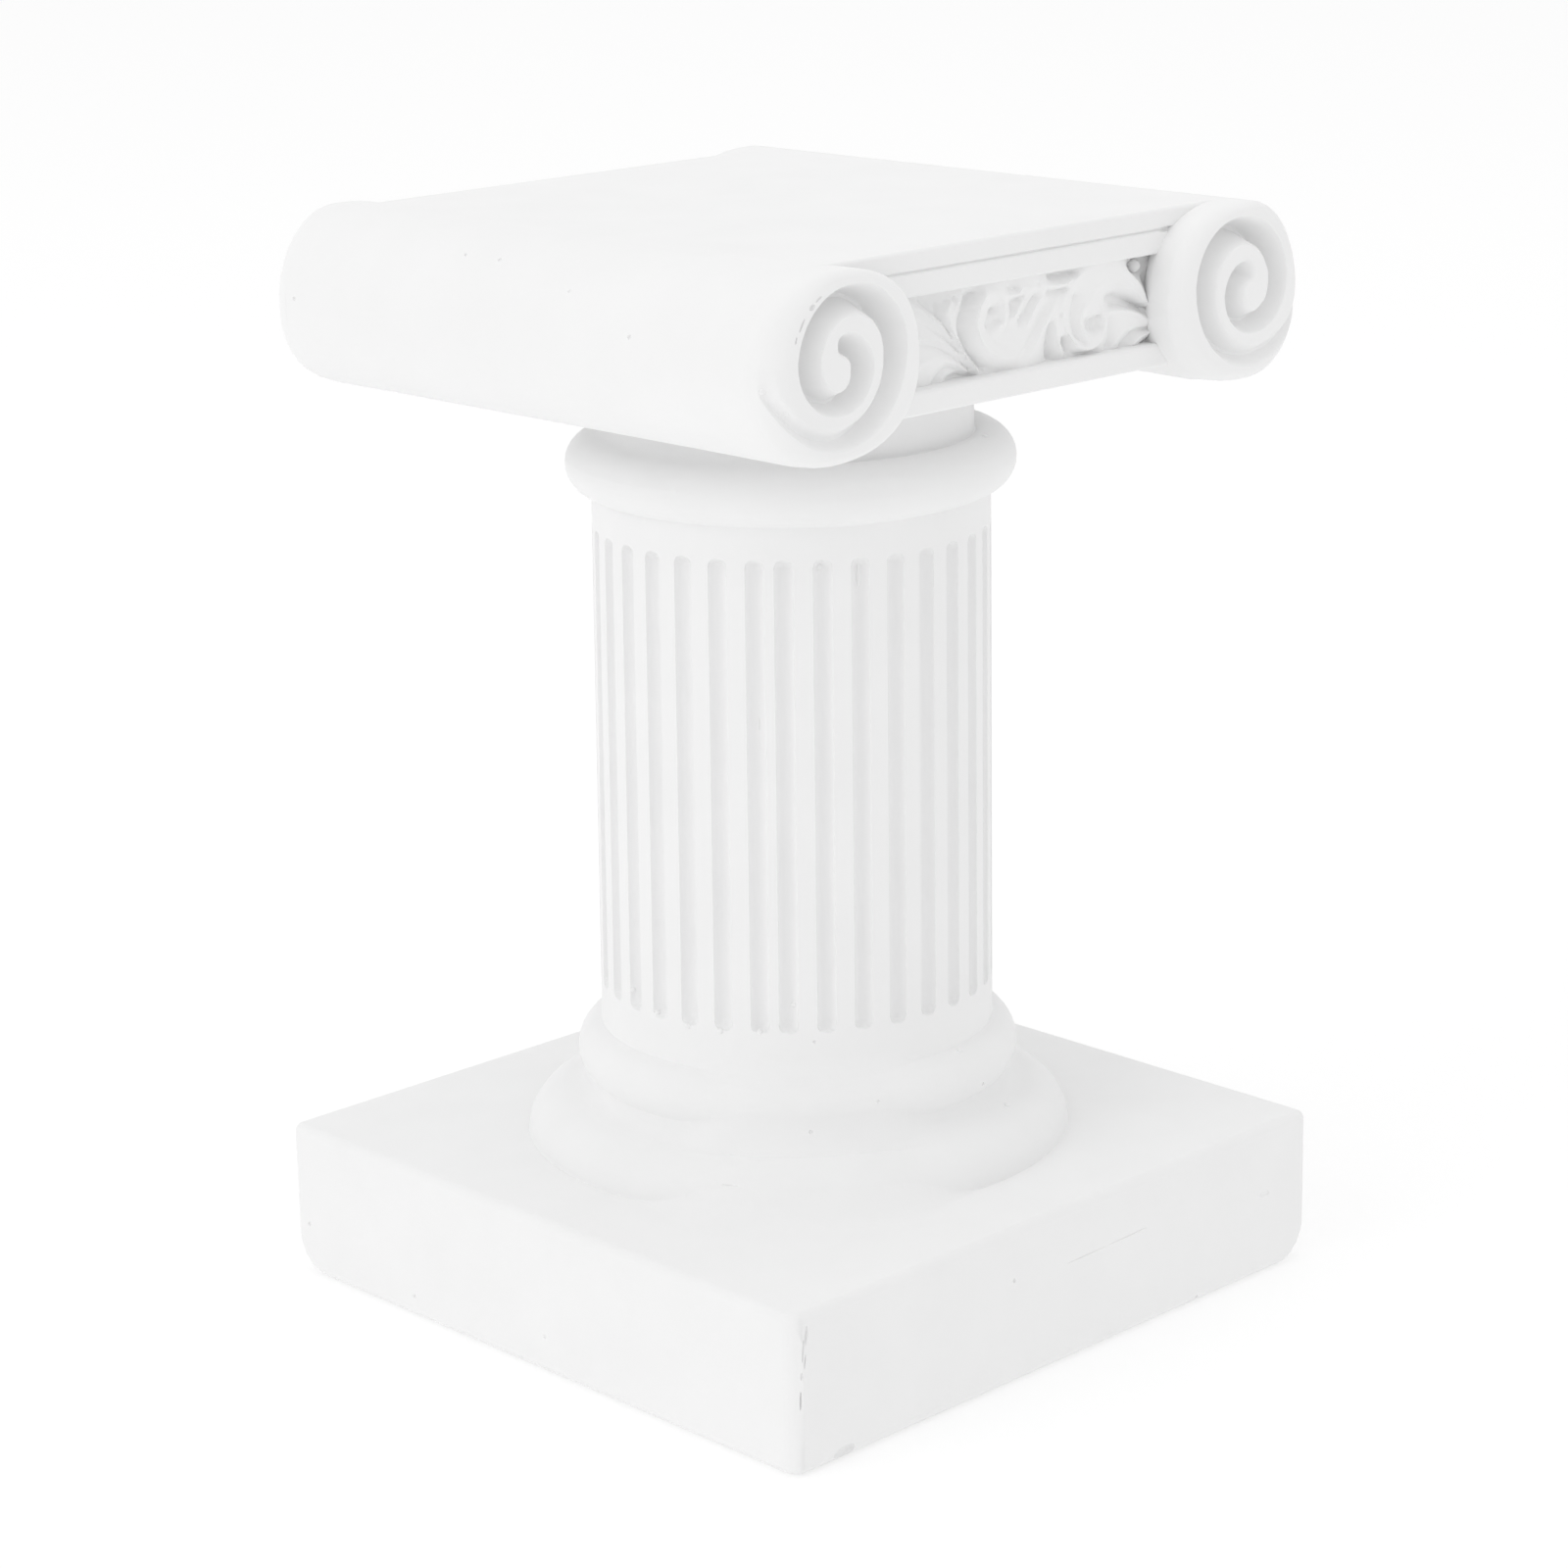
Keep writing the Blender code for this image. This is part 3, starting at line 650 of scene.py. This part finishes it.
def rollStations():
    # From the roll's middle to the ribbon's edge: mm out, share of the shoulder, share of the web, and
    # the two outlines that it lies between, with its share of the second
    ground, front = slab["ground"], slab["front"]
    waist, flank, full = roll["waist"], roll["flank"], roll["full"]
    stations = [(out, 0.0, 1.0, waist, roll["ground"], share)
                for out, share in roll["barrel"] + ((ground - 0.4, 1),)]
    for share, web in roll["sweep"]:
        out = ground + (front - ground) * share
        stations.append((out, 0.0, web, roll["ground"], flank, sin(share * pi / 2)))
    stations.append((front - 0.1, 0.0, 0.0, flank, full, 0.0))
    stations.append((front + 0.7, 0.0, 0.0, flank, full, 0.25))
    for turn in (90, 79, roll["ribbonEdge"]):
        stations.append((roll["volute"], 1 - cos(radians(turn)), 0.0, roll["face"], full, sin(radians(turn))))
    return stations


def makeRoll(name, side):
    half = rollStations()
    stations = [(-1, *station) for station in half[::-1]] + [(1, *station) for station in half[1:]]
    perTurn = roll["columns"]

    def place(column, row):
        direction = gathered(column)
        result = np.empty((len(row), 3))
        for i, (end, out, shoulder, web, first, second, share) in enumerate(stations):
            here = row == i
            angle = direction[here]
            reach = reachBetween(first, second, share, angle)
            reach = reach * (1 - web) + webbed(reach, angle) * web
            result[here] = atVolute(side, end, reach, angle, out - shoulder * shoulderDepth(angle))
        return result

    barrel = sheet(name, perTurn, len(stations) - 1, place)
    return tidyShell(joined(name, [barrel, voluteFace(side, -1), voluteFace(side, 1)]), 0.004)


# Frieze: a running leaf scroll. The surface is stretched like a skin over crests and valleys that were
# read off the photo. Each point is in quarter pixels of the photo to the right of and below one place in
# it, and then its height in mm over the recess's ground
frieze = {
    "readFrom": (880, 190), "perPixel": 4, "steps": 40,
    "pitch": 0.17, "backPitch": 0.36, "sink": 0.53, "reach": 29.03,
    "field": 1.2, "passes": 480, "slack": 1.9,
    # How much every form is lifted over the mean of the mm round it, and the passes that round it off
    "crisp": 0.7, "crispSpan": 0.5, "rounded": 3,
    "least": 0.15, "underFront": 0.05,  # mm over the ground and under the slab's front
    "root": 4, "rootFrom": 3,           # mm that it reaches into the slab, and where it starts
    "bead": (1106, 324, 1.4), "beadRadius": 0.85,
}
friezeWires = (
    # Long blade at the left: its crest, the field above it and its hollow side
    ((188, 472, 2), (250, 515, 2.5), (330, 580, 2.8), (385, 640, 3), (430, 705, 2.9), (472, 754, 2)),
    ((218, 462, 0.9), (262, 497, 1), (315, 545, 1.8)),
    ((205, 545, 1.9), (260, 575, 2), (305, 603, 2.1), (345, 632, 2.2), (382, 664, 2.2), (412, 700, 2)),
    # Its fold, and the valley below
    ((225, 622, 2.4), (290, 630, 2.6), (343, 655, 2.6), (395, 690, 2.4), (445, 740, 1.8)),
    ((228, 643, 1.9), (285, 650, 2), (335, 674, 2), (382, 707, 1.9), (425, 742, 1.5)),
    # Small shell
    ((214, 805, 1.8), (221, 762, 2.3), (242, 727, 2.5), (290, 706, 2.6), (340, 706, 2.6), (382, 725, 2.4),
     (428, 755, 1.8)),
    ((266, 803, 2.1), (276, 775, 2.4), (300, 746, 2.5), (335, 721, 2.5), (370, 730, 2.3)),
    ((282, 806, 1.5), (294, 780, 1.6), (318, 753, 1.7), (346, 737, 1.8), (376, 746, 1.7)),
    ((302, 806, 1.7), (318, 787, 2), (342, 765, 2.1), (376, 754, 2)),
    ((336, 784, 1.2), (357, 773, 1), (382, 767, 0.9), (402, 771, 1), (430, 768, 1)),
    # Field between the blades
    ((250, 470, 0.9), (290, 485, 1.2), (292, 530, 1.4)),
    ((362, 447, 1.9), (328, 485, 2), (320, 530, 2.1), (338, 590, 2.2), (380, 655, 2.4)),
    # Blade with the curled tip
    ((400, 430, 2.6), (398, 465, 2.8), (368, 520, 2.9), (358, 552, 2.9), (370, 602, 3), (400, 652, 3),
     (440, 717, 2.9), (475, 758, 2)),
    ((385, 437, 2.5), (352, 480, 2.6), (342, 525, 2.7), (352, 560, 2.8)),
    ((374, 478, 2.1), (357, 522, 2.2)),
    ((412, 440, 1.1), (405, 500, 1.4), (388, 550, 1.3), (390, 600, 1.3), (420, 662, 1.5), (455, 712, 1.4),
     (478, 742, 1.3)),
    # Left scroll: crest, outer side, curl, dish
    ((512, 420, 3), (500, 458, 3.3), (478, 490, 3.4), (467, 540, 3.5), (472, 600, 3.5), (495, 650, 3.4),
     (530, 685, 3.3), (580, 707, 3.1), (640, 700, 2.9)),
    ((470, 440, 2.4), (448, 490, 2.7), (440, 545, 2.8), (446, 605, 2.8), (468, 665, 2.8), (505, 712, 2.6),
     (560, 738, 2.4)),
    ((438, 432, 1.4), (424, 500, 1.9), (418, 560, 2.1), (426, 615, 2.2), (448, 675, 2.2), (478, 722, 1.9)),
    ((512, 420, 3), (545, 435, 3.4), (572, 470, 3.5), (585, 515, 3.5), (578, 550, 3.3), (555, 576, 2.9),
     (528, 590, 2.6)),
    ((600, 478, 2), (606, 510, 2.2), (598, 545, 2.4), (580, 592, 2.4)),
    ((520, 495, 1.8), (508, 530, 2), (500, 575, 2.1), (545, 545, 2.3)),
    ((540, 630, 2.6), (600, 650, 2.6), (660, 640, 2.5)),
    # Stem: right edge, middle, and the valley beyond
    ((800, 440, 2.7), (790, 470, 2.9), (765, 525, 3), (735, 580, 3), (700, 655, 2.9), (668, 702, 2.7),
     (622, 737, 2.4), (560, 752, 2.1), (500, 746, 1.9)),
    ((740, 500, 2.4), (695, 590, 2.3), (650, 670, 2.4)),
    ((770, 545, 2.4), (757, 590, 1.9), (748, 635, 1.5), (745, 670, 1.2), (745, 698, 0.9)),
    # Fingers of the leaf in the middle
    ((655, 450, 2.9), (640, 490, 2.9), (624, 522, 2.8), (602, 546, 2.5)),
    ((745, 440, 3), (712, 475, 3), (692, 515, 2.9), (680, 550, 2.8), (668, 570, 2.5)),
    ((655, 505, 2.2), (642, 535, 1.8), (632, 558, 1.9)),
    ((700, 445, 2.3), (675, 485, 2.2), (660, 520, 2)),
    ((768, 455, 2.6), (735, 492, 2.4), (708, 535, 2.3), (692, 578, 2.3)),
    # Petals under the fascia
    ((545, 417, 3.3), (560, 433, 3.5), (590, 446, 3.5), (625, 444, 3.5), (645, 430, 3.4), (655, 410, 3.2)),
    ((590, 415, 2.7), (622, 420, 2.7)),
    ((655, 405, 3.1), (680, 419, 3.2), (705, 413, 3.1), (718, 396, 3)),
    ((735, 373, 3.4), (739, 396, 3.5), (762, 406, 3.5), (800, 405, 3.5), (835, 396, 3.4), (855, 376, 3.2)),
    ((745, 366, 2.1), (800, 360, 2), (850, 352, 2.1)),
    ((592, 466, 2.3), (622, 462, 2.2), (648, 446, 2.3)),
    # Thin lip beyond the dark triangle
    ((792, 482, 2.9), (785, 530, 3), (786, 570, 3), (793, 620, 3), (808, 665, 2.9), (824, 692, 2)),
    ((806, 520, 2.7), (802, 570, 2.3), (810, 620, 1.9), (826, 668, 1.8)),
    # Right scroll: outer lip, its curl round the eye, the hollow between them and the eye
    ((850, 407, 3), (826, 440, 3), (819, 490, 3.1), (820, 550, 3.2), (835, 606, 3.2), (868, 648, 3.2),
     (910, 666, 3.1), (945, 660, 3.1), (973, 633, 3.1), (985, 592, 3.2), (984, 560, 3.2), (975, 525, 3.2),
     (955, 492, 3.2), (930, 470, 3.2)),
    ((930, 470, 3.2), (905, 497, 3.1), (893, 530, 3), (892, 570, 3), (905, 602, 3), (930, 619, 3)),
    ((862, 440, 2.1), (850, 495, 2.1), (850, 555, 2.1), (866, 608, 2.2), (905, 640, 2.5)),
    ((905, 540, 1.8), (908, 575, 1.7), (928, 540, 1.7), (930, 585, 1.9), (950, 520, 2.1), (955, 575, 2.2)),
    ((818, 690, 1.8), (850, 682, 2), (900, 680, 2), (950, 670, 2.1)),
    # Arching leaf: outer edge, inner edge and the shade under it
    ((862, 402, 3), (880, 366, 3.2), (930, 341, 3.4), (1000, 325, 3.5), (1044, 325, 3.5), (1072, 340, 3.5),
     (1098, 362, 3.4), (1133, 400, 3.3), (1151, 440, 3.2), (1160, 475, 3), (1172, 510, 2.8)),
    ((930, 470, 3.2), (942, 433, 3.4), (965, 409, 3.5), (1000, 397, 3.5), (1040, 398, 3.4), (1080, 414, 3.3),
     (1115, 440, 3.1), (1148, 480, 2.9)),
    ((1000, 362, 3.6), (1060, 376, 3.5), (1120, 418, 3.3)),
    ((980, 452, 1.8), (1010, 442, 1.5), (1060, 458, 1.3), (1110, 480, 1.3), (1140, 498, 1.5)),
    ((1000, 485, 1.9), (1050, 490, 1.8), (1100, 500, 1.8), (1140, 512, 1.9)),
    # Lower leaf at the right, its folds and hollow
    ((1000, 513, 2.9), (1050, 502, 3), (1098, 508, 3), (1136, 522, 3), (1166, 544, 2.9), (1188, 566, 2.8)),
    ((1018, 655, 2.5), (1033, 636, 2.8), (1067, 598, 2.9), (1107, 572, 2.9), (1169, 561, 2.8)),
    ((1042, 658, 1.7), (1056, 632, 1.9), (1086, 600, 2), (1118, 583, 2.1), (1182, 575, 2.3)),
    ((1095, 660, 2.4), (1111, 636, 2.8), (1142, 609, 2.9), (1184, 590, 2.8)),
    ((1122, 655, 1.8), (1140, 638, 1.6), (1182, 612, 1.6)),
    ((1145, 652, 2), (1162, 640, 2.1), (1190, 628, 2.1)),
    ((985, 655, 1.8), (998, 625, 2), (1003, 580, 2.1), (1000, 540, 2.3)),
    # Void in the upper right corner, and a bead in it
    ((1055, 324, 0.8), (1090, 338, 0.8), (1125, 332, 1), (1165, 320, 1.5)),
    ((1132, 365, 1), (1148, 400, 1.3)),
    ((745, 428, 2.3), (790, 424, 2.3), (832, 416, 2.4)),
)


def smoothLine(points, steps):
    # A curve through the points, each a row of numbers that vary along it together
    rows = np.array(points, dtype=float)
    padded = np.vstack((2 * rows[0] - rows[1], rows, 2 * rows[-1] - rows[-2]))
    line = []
    for before, start, stop, after in zip(padded, padded[1:], padded[2:], padded[3:]):
        square, cube = 2 * before - 5 * start + 4 * stop - after, 3 * start - before - 3 * stop + after
        for t in np.arange(steps) / steps:
            line.append(0.5 * (2 * start + (stop - before) * t + square * t ** 2 + cube * t ** 3))
    return np.array(line + [rows[-1]])


def softened(height, passes):
    for _ in range(passes):
        around = np.pad(height, 1, mode="edge")
        height = (around[:-2] + 2 * around[1:-1] + around[2:]) / 4
        height = (height[:, :-2] + 2 * height[:, 1:-1] + height[:, 2:]) / 4
    return height


def onFrieze(right, down, height):
    # The spot where a point that was read off the photo lies: mm across, up from the lower fascia, and out
    (fromLeft, fromTop), scale = frieze["readFrom"], frieze["perPixel"]
    spot, ray = sightLine(fromLeft + right / scale, fromTop + down / scale)
    spot = spot / mm - Vector(capitalShift)
    spot -= ray * (spot.y + slab["ground"] + height) / ray.y
    return spot.x, spot.z - slabLevels()[1], height


def stretched(across, up):
    # The skin's height at every crossing of a grid: fixed on the wires, and slack in between
    height = np.full(across.shape, frieze["field"])
    fixed = np.zeros(across.shape, dtype=bool)
    for wire in friezeWires:
        line = smoothLine([onFrieze(*point) for point in wire], frieze["steps"])
        i = np.rint((line[:, 0] - across[0, 0]) / (across[1, 0] - across[0, 0])).astype(int)
        j = np.rint((line[:, 1] - up[0, 0]) / (up[0, 1] - up[0, 0])).astype(int)
        inside = (i >= 0) & (i < height.shape[0]) & (j >= 0) & (j < height.shape[1])
        height[i[inside], j[inside]] = line[inside, 2]
        fixed[i[inside], j[inside]] = True
    columns, rows = np.indices(height.shape)
    for step in range(frieze["passes"]):
        around = np.pad(height, 1, mode="edge")
        mean = (around[:-2, 1:-1] + around[2:, 1:-1] + around[1:-1, :-2] + around[1:-1, 2:]) / 4
        loose = ~fixed & ((columns + rows + step) % 2 == 0)
        height[loose] += frieze["slack"] * (mean[loose] - height[loose])
    # The carver's edges stand out from what lies round them, and plaster rounds them a little
    span = frieze["crispSpan"] / (across[1, 0] - across[0, 0])
    height = height + frieze["crisp"] * (height - softened(height, round(2 * span ** 2)))
    return softened(height, frieze["rounded"])


def makeFrieze(name, end, pitch):
    foot, friezeFoot, friezeTop = slabLevels()[:3]
    reach, low, high = frieze["reach"], friezeFoot - frieze["sink"], friezeTop + frieze["sink"]
    columns, rows = round(2 * reach / pitch), round((high - low) / pitch)
    # Worked out twice as fine as the mesh, so that the slanting edges run smoothly
    across, up = np.meshgrid(np.linspace(-reach, reach, 2 * columns + 1),
                             np.linspace(low, high, 2 * rows + 1), indexing="ij")
    most = slab["front"] - slab["ground"] - frieze["underFront"]
    height = np.clip(stretched(across, up - friezeFoot), frieze["least"], most)[::2, ::2]
    across, up = across[::2, ::2], up[::2, ::2]

    def place(column, row):
        out = slab["ground"] + height[column, row]
        return np.column_stack((-end * across[column, row], end * out, up[column, row]))

    obj = sheet(name, columns, rows, place)
    openEdit(obj, "ALL")
    bpy.ops.mesh.extrude_region_move(TRANSFORM_OT_translate={"value": (0, -end * frieze["root"] * mm, 0)})
    rootPlace = end * (slab["ground"] - frieze["rootFrom"]) * mm
    bpy.ops.transform.resize(value=(1, 0, 1), center_override=(0, rootPlace, 0))
    bpy.ops.mesh.select_all(action="SELECT")
    bpy.ops.mesh.normals_make_consistent(inside=False)
    closeEdit()
    return obj


def makeBead():
    # A round blob of plaster that sits in the frieze's upper corner
    across, up, out = onFrieze(*frieze["bead"])
    pickNothing()
    bpy.ops.mesh.primitive_uv_sphere_add(segments=16, ring_count=10, radius=frieze["beadRadius"] * mm,
                                         location=(across * mm, -(slab["ground"] + out) * mm,
                                                   (slabLevels()[1] + up) * mm))
    bpy.ops.object.transform_apply(location=True, rotation=False, scale=False)
    return called("bead")


# Wear and casting faults, where the photo shows them. A mark has its place in px from the photo's top
# left corner, the place where it ends if it is long, and its half width and half depth in mm
wear = {
    "holes": (
        # Air bubbles in the top and the rolls, then in the base, then in the plinth
        (510, 265, 0.3, 0.3), (475, 260, 0.25, 0.25), (642, 344, 0.3, 0.3), (581, 297, 0.25, 0.2),
        (300, 305, 0.3, 0.3), (827, 1155, 0.28, 0.25), (831, 1063, 0.25, 0.25), (1003, 1106, 0.3, 0.3),
        (896, 1124, 0.25, 0.25), (316, 1249, 0.35, 0.3), (423, 1323, 0.3, 0.3), (556, 1364, 0.28, 0.25),
        (533, 1385, 0.25, 0.2), (1035, 1307, 0.35, 0.3), (1221, 1323, 0.32, 0.3),
        # Chips on the near volute's rim
        (838, 303, 833, 308, 0.15, 0.3), (830, 313, 828, 315, 0.33, 0.5), (821, 326, 816, 339, 0.14, 0.35),
        (813, 345, 812, 351, 0.12, 0.3),
        # Rubbed front edge of the plinth
        (823, 1355, 822, 1371, 0.3, 0.5), (820, 1367, 819, 1391, 0.15, 0.35),
        (822, 1383, 821, 1397, 0.14, 0.4), (818, 1402, 818, 1408, 0.2, 0.3),
        (817, 1421, 817, 1439, 0.14, 0.4),
        # Scratches in a flute's foot and the shaft, a hairline and a scuff on the plinth
        (736, 1209, 753, 1211, 0.16, 0.16), (775, 733, 775, 745, 0.16, 0.16),
        (1088, 1290, 1130, 1271, 0.09, 0.12), (1130, 1271, 1171, 1252, 0.09, 0.12),
        (1287, 1219, 1293, 1217, 0.5, 0.2),
        # Notch in the plinth's lower edge
        (856, 1484, 868, 1478, 0.9, 0.8),
    ),
    "bumps": (
        # Blobs that air in the mould left in the flutes' ends
        (671, 1033, 0.4, 0.3), (646, 1010, 0.35, 0.3), (702, 1047, 0.4, 0.35), (735, 1052, 0.4, 0.35),
        (775, 1053, 0.4, 0.35), (810, 1025, 0.35, 0.3), (836, 578, 0.4, 0.35),
        (876, 577, 876, 596, 0.35, 0.3),
        # Crumbs under the ring, in the base's crease and on the near roll
        (1005, 445, 0.4, 0.3), (979, 1072, 0.4, 0.3), (1027, 1128, 0.4, 0.3), (778, 400, 0.4, 0.2),
        (802, 423, 0.35, 0.2),
    ),
}


def seenAt(skin, place):
    # The spot on the casting that shows at a place of the photo, and the way that it faces
    return skin.ray_cast(*sightLine(*place))[:2]


def makeMarks(name, marks):
    skin = BVHTree.FromObject(casting, bpy.context.evaluated_depsgraph_get())
    made = []
    for *places, width, depth in marks:
        (start, facing), (stop, _) = seenAt(skin, places[:2]), seenAt(skin, places[-2:])
        length = (stop - start).length
        along = (stop - start).normalized() if length > 0.1 * mm else facing.orthogonal().normalized()
        aside = facing.cross(along).normalized()
        pickNothing()
        bpy.ops.mesh.primitive_ico_sphere_add(subdivisions=2, radius=1)
        mark = called(name)
        sizes = (length / 2 + width * mm, width * mm, depth * mm)
        axes = [way * size for way, size in zip((along, aside, along.cross(aside)), sizes)]
        mark.matrix_world = Matrix.Translation((start + stop) / 2) @ Matrix(axes).transposed().to_4x4()
        bpy.ops.object.transform_apply(location=True, rotation=True, scale=True)
        made.append(mark)
    return made


# Finish: cast gypsum plaster, uncoated, rubbed smooth
plaster = {
    "pale": "#F5F5F5", "dull": "#F1F1F1",
    "mottle": 11.0,         # mm across a cloud of tone
    "grain": 0.35,          # mm across a grain of the surface
    "grainHeight": 0.012,   # mm
    "roughness": (0.78, 0.9), "powder": 0.6, "ior": 1.52, "gloss": 0.3,
}


def colourOf(code):
    channels = [int(code[i:i + 2], 16) / 255 for i in (1, 3, 5)]
    return tuple(c / 12.92 if c <= 0.04045 else ((c + 0.055) / 1.055) ** 2.4 for c in channels) + (1.0,)


def addNode(tree, kind, settings=None, inputs=None):
    node = tree.nodes.new(kind)
    for name, value in (settings or {}).items():
        setattr(node, name, value)
    for name, value in (inputs or {}).items():
        if isinstance(value, bpy.types.NodeSocket):
            tree.links.new(value, node.inputs[name])
        else:
            node.inputs[name].default_value = value
    return node


def castPlaster():
    # A dry powdery white: no gloss to speak of, soft clouds of tone and a faint grain
    material = bpy.data.materials.new("castPlaster")
    material.use_nodes = True
    tree = material.node_tree
    shader = tree.nodes["Principled BSDF"]
    place = addNode(tree, "ShaderNodeTexCoord").outputs["Object"]
    clouds = addNode(tree, "ShaderNodeTexNoise", None, {
        "Vector": place, "Scale": 1000 / plaster["mottle"], "Detail": 3.0, "Roughness": 0.55})
    tone = addNode(tree, "ShaderNodeMix", {"data_type": "RGBA"}, {
        "Factor": clouds.outputs["Fac"], "A": colourOf(plaster["pale"]), "B": colourOf(plaster["dull"])})
    grain = addNode(tree, "ShaderNodeTexNoise", None, {
        "Vector": place, "Scale": 1000 / plaster["grain"], "Detail": 2.0, "Roughness": 0.5})
    rough = addNode(tree, "ShaderNodeMapRange", None, {
        "Value": grain.outputs["Fac"], "To Min": plaster["roughness"][0], "To Max": plaster["roughness"][1]})
    bump = addNode(tree, "ShaderNodeBump", None, {
        "Height": grain.outputs["Fac"], "Distance": plaster["grainHeight"] * mm, "Strength": 1.0})
    tree.links.new(tone.outputs[2], shader.inputs["Base Color"])
    tree.links.new(rough.outputs["Result"], shader.inputs["Roughness"])
    tree.links.new(bump.outputs["Normal"], shader.inputs["Normal"])
    shader.inputs["Diffuse Roughness"].default_value = plaster["powder"]
    shader.inputs["IOR"].default_value = plaster["ior"]
    shader.inputs["Specular IOR Level"].default_value = plaster["gloss"]
    return material


# Studio: a white floor and a white room, with one large soft light overhead and one at the left
studio = {
    "room": 0.874, "floorSize": 6.0, "floorGlow": 0.4, "floor": "#D0D0D0",
    # Each light's place in m, its width in m and its power in W
    "overhead": ((0, 0, 1.6), 1.2, 1.96), "fromLeft": ((-1.4, 0.2, 0.9), 1.2, 3.1),
    "aim": (0, 0, 0.09),
}


def makeStudio():
    scene = bpy.context.scene
    scene.view_settings.view_transform = "Standard"
    world = bpy.data.worlds.new("whiteRoom")
    scene.world = world
    world.use_nodes = True
    world.node_tree.nodes["Background"].inputs["Color"].default_value = (1, 1, 1, 1)
    world.node_tree.nodes["Background"].inputs["Strength"].default_value = studio["room"]
    pickNothing()
    bpy.ops.mesh.primitive_plane_add(size=studio["floorSize"])
    floor = called("paleFloor")
    white = bpy.data.materials.new("paleFloor")
    white.use_nodes = True
    shader = white.node_tree.nodes["Principled BSDF"]
    shader.inputs["Base Color"].default_value = colourOf(studio["floor"])
    shader.inputs["Roughness"].default_value = 0.9
    shader.inputs["Specular IOR Level"].default_value = 0.1
    shader.inputs["Emission Color"].default_value = (1, 1, 1, 1)
    shader.inputs["Emission Strength"].default_value = studio["floorGlow"]
    floor.data.materials.append(white)
    for name in ("overhead", "fromLeft"):
        place, width, power = studio[name]
        data = bpy.data.lights.new(name, "AREA")
        data.shape = "DISK"
        data.size = width
        data.energy = power
        light = bpy.data.objects.new(name, data)
        light.location = place
        light.rotation_euler = (Vector(place) - Vector(studio["aim"])).to_track_quat("Z", "Y").to_euler()
        bpy.context.collection.objects.link(light)


makeStudio()
print("column: studio set")

# The column is put together here, from its foot up
casting = makePlinth()
print("column: plinth modelled")
turnedForm = makeTurned()
print("column: turned body modelled,", len(turnedForm.data.polygons), "faces")
slabForm = makeSlab()
rolls = [makeRoll("leftRoll", -1), makeRoll("rightRoll", 1)]
print("column: capital modelled,", [len(r.data.polygons) for r in rolls], "faces")
friezes = [makeFrieze("frontFrieze", -1, frieze["pitch"]), makeFrieze("backFrieze", 1, frieze["backPitch"])]
print("column: frieze carved,", [len(f.data.polygons) for f in friezes], "faces")
friezes.append(makeBead())
for form in [slabForm] + rolls + friezes:
    writePlaces(form, readPlaces(form) + np.array(capitalShift) * mm)
casting = castTogether("oneCasting", casting, [turnedForm, slabForm] + rolls + friezes)
casting = castTogether("bumps", casting, makeMarks("bump", wear["bumps"]))
casting = castTogether("holes", casting, makeMarks("hole", wear["holes"]), "DIFFERENCE")
casting.name = "columnCasting"
casting.data.name = "columnCasting"
print("column: joined,", sum(len(p.vertices) - 2 for p in casting.data.polygons), "triangles")

casting.data.materials.clear()
casting.data.materials.append(castPlaster())
pickNothing()
casting.select_set(True)
bpy.context.view_layer.objects.active = casting
bpy.ops.object.shade_smooth_by_angle(angle=radians(40))
weighted = casting.modifiers.new("flatsStayFlat", "WEIGHTED_NORMAL")
weighted.keep_sharp = True
bpy.ops.object.modifier_apply(modifier=weighted.name)

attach(casting, "root")
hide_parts("column")
print("column: finished")
